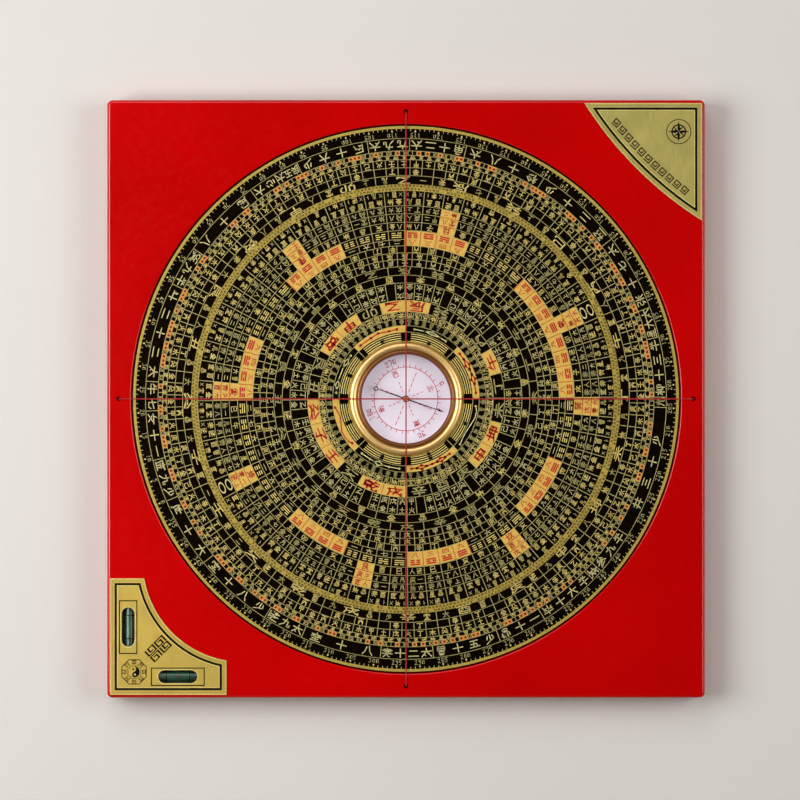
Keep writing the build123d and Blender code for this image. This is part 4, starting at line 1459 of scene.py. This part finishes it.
def trigram_octagon(inlay, fine, middle, radius):
    """Octagon with a trigram on each side of a yin and yang."""
    for reach, width in ((radius, 0.4 * MM), (radius * EMBLEM_INNER_LINE, 0.24 * MM)):
        fine.path([middle + spot(-22.5 - 45 * i, reach) for i in range(8)], width, True)
    yin_yang(inlay, middle, radius * EMBLEM_FIGURE)
    for side in range(8):
        across = spot(45 * side + 90, 1.0)
        for line, whole in enumerate(trigram_lines(side)):
            place = middle + spot(45 * side, radius * (EMBLEM_FIRST_BAR + EMBLEM_BAR_STEP * line))
            for start, end in BAR_PARTS[whole]:
                fine.path([place + across * start * MM, place + across * end * MM], 0.42 * MM)


def fret_marks(centre, turn):
    """Block of four fretwork keys."""
    marks = []
    for x, y in ((-1, -1), (1, -1), (-1, 1), (1, 1)):
        place = centre + turned((x * FRET_STEP.x, y * FRET_STEP.y), -turn) * MM
        marks.append(Mark("key", *place, -turn + (pi if x * y < 0 else 0), 3.4 * MM, 5.6 * MM))
    return marks


def compass_rose(inlay, middle, radius):
    """Eight-pointed star in two rings, its main points filled on both sides."""
    waist = radius * 0.34
    for point in range(8):
        angle = 45 * point
        tip = middle + spot(angle, radius * (0.74 if point % 2 else 1.0))
        inlay.polygon([tip, middle + spot(angle - 22.5, waist), middle])
        if point % 2 == 0:
            inlay.polygon([middle + spot(angle + 22.5, waist), tip, middle])
    inlay.ring(radius * 0.56, radius * 0.68, 48, middle)
    inlay.ring(radius * 1.08, radius * 1.15, 48, middle)


# Turned pieces along a vial

BUBBLE_RADIUS = 1.35 * MM
BUBBLE_LIFT = 0.68 * MM
BUBBLE_BED = 1.5 * MM


def barrel(name, centre, along, profile, sides=28):
    """Closed mesh turned about a lying axis; the profile is (along, radius) from pole to pole."""
    up = Vector((0, 0, 1))
    across = up.cross(along)
    points = [centre + along * profile[0][0]]
    for place, radius in profile[1:-1]:
        for i in range(sides):
            turn = 2 * pi * i / sides
            points.append(centre + along * place + (across * cos(turn) + up * sin(turn)) * radius)
    points.append(centre + along * profile[-1][0])
    faces = []
    for i in range(sides):
        following = (i + 1) % sides
        faces.append((0, 1 + following, 1 + i))
        for here in range(1, len(points) - 1 - sides, sides):
            there = here + sides
            faces.append((here + i, here + following, there + following, there + i))
        last = len(points) - 1 - sides
        faces.append((len(points) - 1, last + i, last + following))
    mesh = bpy.data.meshes.new(name)
    mesh.from_pydata(points, [], faces)
    mesh.update()
    mesh.shade_smooth()
    return mesh


def dent(mesh, centre, along, length, depth):
    """Presses the bubble's bed into the top of the liquid."""
    for vertex in mesh.vertices:
        offset = vertex.co - centre
        share = abs(offset.dot(along)) / (length / 2)
        if share < 1 and offset.z > 0:
            vertex.co.z -= depth * sqrt(1 - share**2) * (offset.z / offset.length)**2


def pocket_lining(name, vials, centre, along):
    """Painted shade on the walls and the round floor of a vial's pocket, dark green where the shaded pocket
    shows through the liquid: a trough that touches both.
    """
    across = Vector((0, 0, 1)).cross(along)
    wall, cradle = vials.pocket_width / 2, vials.cradle_radius
    top = BOARD_HIGH.z - centre.z
    floor = [(cradle * cos(pi * i / 12), -cradle * sin(pi * i / 12)) for i in range(13)]
    section = [(wall, top), (wall, 0), *floor, (-wall, 0), (-wall, top)]
    thick = 0.05 * MM
    half = vials.pocket_length / 2 - 0.1 * MM
    trough = Inlay(-half, 2 * half)
    trough.path(section, thick)
    for end in (-half, half - thick):
        trough.low, trough.high = end, end + thick
        trough.polygon(section[::-1])
    mesh = trough.mesh(name)
    for vertex in mesh.vertices:
        u, v, w = vertex.co
        vertex.co = centre + across * u + Vector((0, 0, v)) + along * w
    return mesh


# Stage

LAMPS = (
    # name, place in metres, share of the power, size
    ("left", (-0.72, 0.06, 0.84), 1.24, 0.75),
    ("right", (1.03, 0.12, 1.10), 1.20, 1.0),
    ("top", (-0.25, 1.00, 1.20), 0.75, 0.9),
    ("bottom", (-0.20, -1.05, 1.00), 0.06, 0.9),
)


def stand(name, data, place=(0, 0, 0)):
    """Object of the stage at its place."""
    holder = bpy.data.objects.new(name, data)
    holder.location = place
    bpy.context.scene.collection.objects.link(holder)
    return holder


FLOOR_THICKNESS = 0.02
FLOOR_GAP = 0.1 * MM


def lay_floor(stage):
    """Wide pale floor just under the board."""
    sheet = Inlay(BOARD_LOW.z - FLOOR_THICKNESS, FLOOR_THICKNESS - FLOOR_GAP)
    sheet.disc((0, 0), stage.floor_radius, 96)
    floor = stand("floor", sheet.mesh("floor"))
    floor.data.materials.append(Finish("pale_floor", stage.floor, (3.0, 1.0, 0.985), Roughness=0.7).material)


def soft_sky(stage):
    """Sky that lights dimly and warmly, and looks pale to the camera."""
    world = bpy.data.worlds.new("soft_sky")
    world.use_nodes = True
    sky = world.node_tree
    height = split(sky, add_node(sky, "ShaderNodeTexCoord").outputs["Generated"])["Z"]
    fall = map_range(sky, height, 0.1, 0.8, stage.sky_horizon, stage.sky_zenith)
    warm, white = solid(tone(236, 204, 168)), solid(tone(232, 230, 232))
    dim = add_node(sky, "ShaderNodeBackground", {"Color": warm, "Strength": fall})
    pale = add_node(sky, "ShaderNodeBackground", {"Color": white, "Strength": 0.8})
    path = add_node(sky, "ShaderNodeLightPath")
    seen = add_node(sky, "ShaderNodeMixShader", {
        0: path.outputs["Is Camera Ray"], 1: dim.outputs[0], 2: pale.outputs[0]})
    sky.links.new(seen.outputs[0], sky.nodes["World Output"].inputs["Surface"])
    return world


def add_lamp(name, place, power, size):
    """Soft round lamp that shines on the middle of the face."""
    lamp = bpy.data.lights.new("soft_" + name, "AREA")
    lamp.shape = "DISK"
    lamp.size = size
    lamp.energy = power
    holder = stand("soft_" + name, lamp, place)
    aim = Vector((0, 0, BOARD_HIGH.z)) - holder.location
    holder.rotation_euler = aim.to_track_quat("-Z", "Y").to_euler()
    holder.visible_camera = False


def add_camera(stage):
    """Camera straight above the face that shows the board at its size and place in the image."""
    pixel = (BOARD_HIGH.x - BOARD_LOW.x) / stage.board_pixels
    half_image = stage.image_pixels / 2
    camera = bpy.data.cameras.new("face_camera")
    camera.sensor_width = 36.0
    camera.lens = camera.sensor_width * stage.camera_height / (stage.image_pixels * pixel)
    camera.clip_end = 100.0
    return stand("face_camera", camera, (
        (half_image - stage.middle_across) * pixel,
        (stage.middle_down - half_image) * pixel,
        BOARD_HIGH.z + stage.camera_height,
    ))


# Operators

class COMPASS_OT_stage(bpy.types.Operator):
    """Floor, soft lights, sky and the camera straight above the face"""
    bl_idname = "compass.stage"
    bl_label = "Stage"

    def execute(self, context):
        scene = context.scene
        stage = scene.compass_stage
        scene.view_settings.view_transform = "Standard"
        scene.view_settings.look = "None"
        lay_floor(stage)
        scene.world = soft_sky(stage)
        for name, place, share, size in LAMPS:
            add_lamp(name, place, stage.light_power * share, size)
        scene.camera = add_camera(stage)
        return {"FINISHED"}


class COMPASS_OT_board(bpy.types.Operator):
    """Lacquer of the board, and the finishes of what the board holds underneath"""
    bl_idname = "compass.board"
    bl_label = "Board"

    def execute(self, context):
        finish_nodes(red_lacquer(context.scene.compass_board), "base_board")
        finish_nodes(turned_metal("bush_brass", tone(214, 176, 96), 0.28, 0.42), "pivot_bush")
        finish_nodes(felt_fibre(), "rim_glide_ring")
        steel = turned_metal("ring_steel", tone(150, 150, 154), 0.3, 0.45)
        finish_nodes(steel, "retaining_washer", "retaining_ring")
        return {"FINISHED"}


class COMPASS_OT_plates(bpy.types.Operator):
    """Gold of the two corner plates, their black borders and ornaments"""
    bl_idname = "compass.plates"
    bl_label = "Corner plates"

    def execute(self, context):
        plates = context.scene.compass_plates
        finish_nodes(brushed_gold("plate_gold", plates.gold), "level_plate")
        finish_nodes(brushed_gold("corner_gold", plates.corner_gold), "corner_plate")
        black = enamel("plate_enamel", plates.enamel, gloss=0.15)
        olive = enamel("plate_olive", tone(166, 146, 62))
        brown = enamel("plate_brown", tone(52, 34, 12), gloss=0.2)
        bright = gold_ink("plate_bright", tone(246, 226, 140), 0.5)
        relief = plates.relief

        inner_edge = plates.border_inset + plates.border_width * 0.75
        edgings = (
            ("border", black, 1.0, [(plates.border_inset, plates.border_width)]),
            ("seam", olive, 0.7, [(plates.seam_inset, 0.2 * MM)]),
            # Painted highlights: bright gold along the plate's outer edge and inside the black line, where
            # the edges catch the light
            ("highlight", bright, 0.7, [(inner_edge, 0.3 * MM), (0.3 * MM, 0.36 * MM)]),
        )
        for plate, outline, top, slot in (
            ("level", level_outline, LEVEL_HIGH.z, "gold_plate"),
            ("corner", corner_outline, CORNER_HIGH.z, "corner_gold"),
        ):
            for part, material, share, lines in edgings:
                edging = Inlay(top, relief * share)
                for inset, width in lines:
                    edging.path(outline(plates, inset), width, True)
                edging.lay(f"{plate}_plate_{part}", material, "base", slot)

        top = LEVEL_HIGH.z
        frames, highlights_and_eye = Inlay(top, relief), Inlay(top, relief * 2)
        for middle, along in window_places(plates):
            frames.path(rectangle(middle, along, plates.frame_length, plates.frame_width), 0.5 * MM, True)
            # Painted highlight: a bright gold ring round each window, where its edge catches the light
            highlights_and_eye.path(stadium(middle, along, *WINDOW_RIM), 0.4 * MM, True)
        # The light eye of the yin and yang's dark drop, printed in the same bright gold
        highlights_and_eye.disc(EMBLEM_MIDDLE - spot(EMBLEM_LEAN_DEG, EMBLEM_EYE_OFFSET), 0.5 * MM)
        frames.lay("window_frames", black, "base", "gold_plate")
        highlights_and_eye.lay("window_rims", bright, "base", "gold_plate")
        ornament, fine = Inlay(top, relief), Inlay(top, relief * 0.8)
        trigram_octagon(ornament, fine, EMBLEM_MIDDLE, EMBLEM_RADIUS)
        ornament.lay("octagon_centre", black, "base", "gold_plate")
        fine.lay("octagon_lines", brown, "base", "gold_plate")
        fret = fret_marks(FRET_MIDDLE, radians(45))
        stamp("level_plate_fret", fret, "bold", top, relief, black, "base")

        top = CORNER_HIGH.z
        rose = Inlay(top, relief)
        compass_rose(rose, ROSE_MIDDLE, ROSE_RADIUS)
        rose.lay("corner_plate_rose", black, "base", "corner_gold")
        centre = CORNER_HIGH.xy + Vector((1, 1)) * corner_bow(plates)
        bow = arc_points(centre, plates.corner_arc - MEANDER_INSET, MEANDER_START, MEANDER_END, 10)
        turn = -Vector((1, 0)).angle_signed(MEANDER_END - MEANDER_START)
        keys = [Mark("key", *place, turn, 3.5 * MM, 3.5 * MM) for place in bow]
        stamp("corner_plate_fret", keys, "bold", top, relief, brown, "base")
        return {"FINISHED"}


class COMPASS_OT_vials(bpy.types.Operator):
    """Clear vials with their plugs, bands, green liquid and bubble"""
    bl_idname = "compass.vials"
    bl_label = "Level vials"

    def execute(self, context):
        vials = context.scene.compass_vials
        clear = clear_glass("vial_clear", tone(200, 226, 214), 1.49, 0.26, 0.34)
        finish_nodes(clear, "level_vial_x", "level_vial_y")
        finish_nodes(rubber("vial_plug", tone(30, 44, 38)), "vial_plugs_x", "vial_plugs_y")
        finish_nodes(rubber("vial_band", tone(14, 26, 20)), "vial_bands_x", "vial_bands_y")
        liquid = level_liquid("level_liquid", vials.liquid)
        # Painted shade: very dark green for the pockets under the vials
        dark = rubber("pocket_painted_shade", tone(16, 34, 24))
        half = vials.liquid_length / 2
        bore = [(-half, 0.0)]
        for i in range(25):
            place = half * (i / 12 - 1)
            bore.append((place, vials.bore_radius + vials.bore_swell * (1 - (place / half)**2)))
        bore.append((half, 0.0))
        for axis, along, shift, seen, length in (
            # The lying bubble is coloured with a painted reflection of the red board
            ("x", Vector((1, 0, 0)), 0.2 * MM, vials.lying_bubble, 4.4 * MM),
            ("y", Vector((0, 1, 0)), 0.0, vials.bubble, 8.4 * MM),
        ):
            low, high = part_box("level_vial_" + axis)
            centre = (low + high) / 2
            middle = centre + along * shift
            body = barrel("level_liquid_" + axis, centre, along, bore)
            dent(body, middle, along, length, BUBBLE_BED)
            add_piece("level_liquid_" + axis, body, liquid, "base")
            name = "level_bubble_" + axis
            soft = [(length / 2 * -cos(pi * i / 12), BUBBLE_RADIUS * sin(pi * i / 12)) for i in range(13)]
            bubble = barrel(name, middle + Vector((0, 0, BUBBLE_LIFT)), along, soft)
            add_piece(name, bubble, level_liquid(name, seen), "base")
            name = "pocket_lining_" + axis
            add_piece(name, pocket_lining(name, vials, centre, along), dark, "base")
        return {"FINISHED"}


class COMPASS_OT_threads(bpy.types.Operator):
    """Twisted red of the two cross threads"""
    bl_idname = "compass.threads"
    bl_label = "Cross threads"

    def execute(self, context):
        finish_nodes(thread_fibre(), "cross_thread_x", "cross_thread_y")
        return {"FINISHED"}


class COMPASS_OT_dial_ground(bpy.types.Operator):
    """Black ground of the dial, its gold rim and the filled cells"""
    bl_idname = "compass.dial_ground"
    bl_label = "Dial ground"

    def execute(self, context):
        printing = context.scene.compass_print
        finish_nodes(rubber("dial_body", tone(24, 23, 22)), "dial_disc")
        finish_nodes(dial_ground(printing.ground), "dial_faceplate")
        bands = Inlay(FACE_Z, printing.field_relief)
        for ring, sides in (("rim", 240), ("gold band", 240), ("capsule", 120)):
            bands.ring(*radii(ring), sides)
        bands.lay("dial_gold_bands", gold_ink("rim_gold", printing.rim, 0.35), "dial", "dial_print")
        yellow = enamel("yellow_enamel", printing.yellow, 0.4)
        yellow_fields(printing).lay("dial_yellow_fields", yellow, "dial", "dial_print")
        orange = enamel("orange_enamel", printing.orange, 0.4)
        cells = Inlay(FACE_Z, printing.field_relief)
        for first, last in ORANGE_RUNS:
            cells.band(*radii("orange cell"), first - 0.5, last + 0.5)
        cells.lay("dial_orange_cells", orange, "dial", "dial_print")
        return {"FINISHED"}


class COMPASS_OT_dial_lines(bpy.types.Operator):
    """Circles, radial lines and degree ticks of the dial"""
    bl_idname = "compass.dial_lines"
    bl_label = "Dial lines"

    def execute(self, context):
        printing = context.scene.compass_print
        relief, width = printing.relief, printing.divider_width
        pale = gold_ink("line_ink", printing.line)
        rings = point_mesh("dial_circles", [(0, 0, FACE_Z + relief / 2)] * len(LINE_SHARES), {
            "radius": ("FLOAT", [dial(share) for share in LINE_SHARES])})
        values = {"Sides": 240, "Width": printing.line_width, "Relief": relief, "Finish": pale}
        grow("dial_circles", rings, [(built_once("Circles", circles_tree), values)], "dial")

        dividers = [(count, first, dial(inner), dial(outer)) for count, first, inner, outer in DIVIDERS]
        radial_bars("dial_dividers", dividers, FACE_Z, width, relief, pale)
        ticks = [(count, NORTH_DEG, *radii(ring)) for count, ring in ((360, "tick"), (72, "long tick"))]
        radial_bars("dial_degree_ticks", ticks, FACE_Z, printing.tick_width, relief, pale)

        inner, outer = radii("mansion")
        marks = [cell_mark("bar", start, "mansion", width / MM, (outer - inner) / MM)
                 for start, _ in MANSIONS]
        stamp("dial_mansion_lines", marks, "plain", FACE_Z, relief, pale, "dial")
        return {"FINISHED"}


class COMPASS_OT_dial_signs(bpy.types.Operator):
    """Characters, numbers, trigrams and star figures of the dial"""
    bl_idname = "compass.dial_signs"
    bl_label = "Dial signs"

    def execute(self, context):
        printing = context.scene.compass_print
        draw = random.Random(24)
        inks = {
            "gold": gold_ink("gold_ink", printing.gold),
            "pale": gold_ink("pale_ink", printing.pale),
            "red": enamel("red_ink", printing.red),
            "faint": enamel("faint_red_ink", tone(204, 80, 24)),
            "dark": enamel("dark_red_ink", tone(92, 8, 2)),
            "dull": bpy.data.materials["line_ink"],
            "black": enamel("black_ink", printing.ground, 0.6, 0.1),
        }
        numbers, dots = degree_marks()
        red_dots, loops = small_cell_marks()
        rows = []
        for row in ROWS:
            zone = "outer_signs" if RINGS[row.ring][0] > 0.7 else "inner_signs"
            rows.append((zone, row.ink, row.weight, row_marks(row, draw)))
        even, open_signs, full_signs = outer_marks(draw)
        columns = column_marks(draw)
        stems, branches = sixty_marks()
        mountains = mountain_row(0.0, "mountain", 7.2, 4.6)
        red = [mountains[i] for i in YELLOW_MOUNTAINS]
        batches = {}
        for name, ink, weight, marks in (
            ("mansions", "pale", "plain", mansion_marks()),
            ("degree_numbers", "pale", "plain", numbers),
            ("degree_dots", "gold", "plain", dots),
            ("cell_dots", "dark", "plain", red_dots),
            ("outer_signs", "gold", "plain", loops),
            *rows,
            ("outer_signs", "gold", "plain", even),
            ("outer_signs", "dull", "plain", open_signs),
            ("outer_signs", "gold", "bold", full_signs + division_marks(7.0, "outer division", 2.8, 2.9)),
            ("outer_mountains", "gold", "plain", mountain_row(7.5, "outer mountain", 7.4, 3.8)),
            ("middle_signs", "gold", "plain", division_marks(-0.5, "inner division", 2.7, 2.8)),
            ("middle_mountains", "dull", "plain", mountain_row(-7.5, "middle mountain", 6.0, 3.0)),
            ("column_signs", "gold", "plain", columns["gold"]),
            ("column_signs", "gold", "bold", columns["bright"]),
            ("column_signs", "pale", "plain", columns["pale"]),
            ("column_signs", "dull", "bold", columns["dull"]),
            ("column_signs", "red", "bold", columns["red"] + columns["red_bars"]),
            ("column_signs", "faint", "bold", columns["faint"]),
            ("column_bars", "gold", "plain", columns["bars"]),
            ("middle_signs", "pale", "plain", stems),
            ("middle_signs", "gold", "plain", branches),
            ("inner_signs", "pale", "plain", dragon_marks()),
            ("mountains", "dull", "plain", [mark for mark in mountains if mark not in red]),
            ("mountains", "red", "bold", red),
        ):
            batches.setdefault((name, ink, weight), []).extend(marks)
        for (name, ink, weight), marks in batches.items():
            stamp(f"dial_{name}_{ink}_{weight}", marks, weight, FACE_Z, printing.mark_relief, inks[ink],
                  "dial")

        bars, blocks = inner_trigrams(printing)
        for name, figures, material in (
            ("field_lines", field_lines(printing), enamel("line_orange", tone(196, 92, 26))),
            ("stars_red", star_figures(printing, YELLOW_STARS, 0.58 * MM, 0.72 * MM), inks["red"]),
            ("stars_pale", star_figures(printing, (0, 2, 4, 6), 0.42 * MM, 0.55 * MM),
             gold_ink("star_ink", tone(240, 231, 162))),
            ("trigrams", bars, inks["gold"]),
            ("trigram_gaps", blocks, inks["black"]),
        ):
            figures.lay("dial_" + name, material, "dial", "dial_print")
        return {"FINISHED"}


# Bead that seals the glass: the seal's red, widened into a dark ring of painted shade at the lip's inner edge
BEAD_HEIGHT = 0.5 * MM
BEAD_WIDTH = 0.62 * MM
# Dashed rays of the card, in millimetres: where they start, then end, dash and gap of every other one
RAY_START = 3.4
RAY_DASHES = ((9.6, 1.3, 0.8), (14.2, 2.0, 0.7))


class COMPASS_OT_compass(bpy.types.Operator):
    """Case, bezel, glass and gasket of the compass, and the print on its card"""
    bl_idname = "compass.compass"
    bl_label = "Compass"

    def execute(self, context):
        card = context.scene.compass_card
        finish_nodes(bezel_metal(), "compass_bezel")
        finish_nodes(case_metal(), "compass_case")
        # The seal's red, darkened to brown as painted shade under the lip
        seal = rubber("gasket_rubber", tone(112, 34, 22))
        finish_nodes(seal, "glass_gasket")
        finish_nodes(clear_glass("compass_glass", tone(252, 252, 255), 1.45, 0.0, 0.02), "compass_glass")
        finish_nodes(card_stock(card.card), "compass_card")
        bead = Inlay(card.bead_top - BEAD_HEIGHT, BEAD_HEIGHT)
        bead.ring(card.bead_radius, card.bead_radius + BEAD_WIDTH, 120)
        bead.lay("glass_seal_bead", seal, "dial", "gasket")

        ink = enamel("card_ink", card.ink, 0.5)
        relief, width, circle, north = card.relief, card.line_width, card.circle_radius, card.north_deg
        ticks = [(36, north, circle, card.tick_end)]
        radial_bars("card_ticks", ticks, CARD_Z, width, relief, ink)
        lines = Inlay(CARD_Z, relief)
        lines.ring(circle - width / 2, circle + width / 2, 120)
        for ray in range(8):
            angle = north + 45 * ray
            end, dash, gap = RAY_DASHES[ray % 2]
            reach = RAY_START
            while reach + dash <= end:
                lines.path([spot(angle, reach * MM), spot(angle, (reach + dash) * MM)], width)
                reach += dash + gap
        lines.lay("card_lines", ink, "dial", "card_white")
        signs, figures = [], []
        for quarter, sign in enumerate(("north", "east", "south", "west")):
            angle = north + 90 * quarter
            signs.append(ring_mark(sign, angle, card.sign_radius, 3.2, 3.1, True))
            figures += number_marks(90 * quarter, angle, card.number_radius, 6.0, 1.9, 2.7, True)
        stamp("card_signs", signs, "plain", CARD_Z, relief, ink, "dial")
        stamp("card_numbers", figures, "bold", CARD_Z, relief, ink, "dial")
        return {"FINISHED"}


class COMPASS_OT_needle(bpy.types.Operator):
    """Blued needle, its turned hub, the jewel and the steel point"""
    bl_idname = "compass.needle"
    bl_label = "Needle"

    def execute(self, context):
        finish_nodes(blued_steel(), "needle_blade")
        finish_nodes(turned_metal("hub_brass", tone(250, 160, 110), 0.3, 0.42), "needle_cap")
        finish_nodes(clear_glass("hub_jewel", tone(225, 60, 60), 1.76, 0.0, 0.03), "needle_jewel")
        finish_nodes(turned_metal("pivot_steel", tone(190, 190, 196), 0.15, 0.28), "needle_pivot")
        return {"FINISHED"}


class COMPASS_PT_panel(bpy.types.Panel):
    """Buttons for every step of the compass, and its settings of sizes and colours"""
    bl_idname = "COMPASS_PT_panel"
    bl_label = "Feng shui compass"
    bl_space_type = "VIEW_3D"
    bl_region_type = "UI"
    bl_category = "Compass"

    def draw(self, context):
        for operator in OPERATORS:
            self.layout.operator(operator.bl_idname)
        for name in SETTINGS:
            box = self.layout.box()
            settings = getattr(context.scene, name)
            for prop in settings.bl_rna.properties:
                if prop.identifier not in ("rna_type", "name"):
                    box.prop(settings, prop.identifier)


SETTINGS = {
    "compass_stage": StageSettings,
    "compass_board": BoardSettings,
    "compass_plates": PlateSettings,
    "compass_vials": VialSettings,
    "compass_print": PrintSettings,
    "compass_card": CardSettings,
}
OPERATORS = (
    COMPASS_OT_stage,
    COMPASS_OT_board,
    COMPASS_OT_plates,
    COMPASS_OT_vials,
    COMPASS_OT_threads,
    COMPASS_OT_dial_ground,
    COMPASS_OT_dial_lines,
    COMPASS_OT_dial_signs,
    COMPASS_OT_compass,
    COMPASS_OT_needle,
)
CLASSES = (*SETTINGS.values(), *OPERATORS, COMPASS_PT_panel)


def register():
    for kind in CLASSES:
        bpy.utils.register_class(kind)
    for name, group in SETTINGS.items():
        setattr(bpy.types.Scene, name, bpy.props.PointerProperty(type=group))


def unregister():
    for name in SETTINGS:
        delattr(bpy.types.Scene, name)
    for kind in reversed(CLASSES):
        bpy.utils.unregister_class(kind)


def main():
    register()
    bpy.ops.compass.stage()
    bpy.ops.compass.board()
    bpy.ops.compass.plates()
    bpy.ops.compass.vials()
    bpy.ops.compass.threads()
    bpy.ops.compass.dial_ground()
    bpy.ops.compass.dial_lines()
    bpy.ops.compass.dial_signs()
    bpy.ops.compass.compass()
    bpy.ops.compass.needle()
    drop_shapes()


if __name__ == "__main__":
    main()
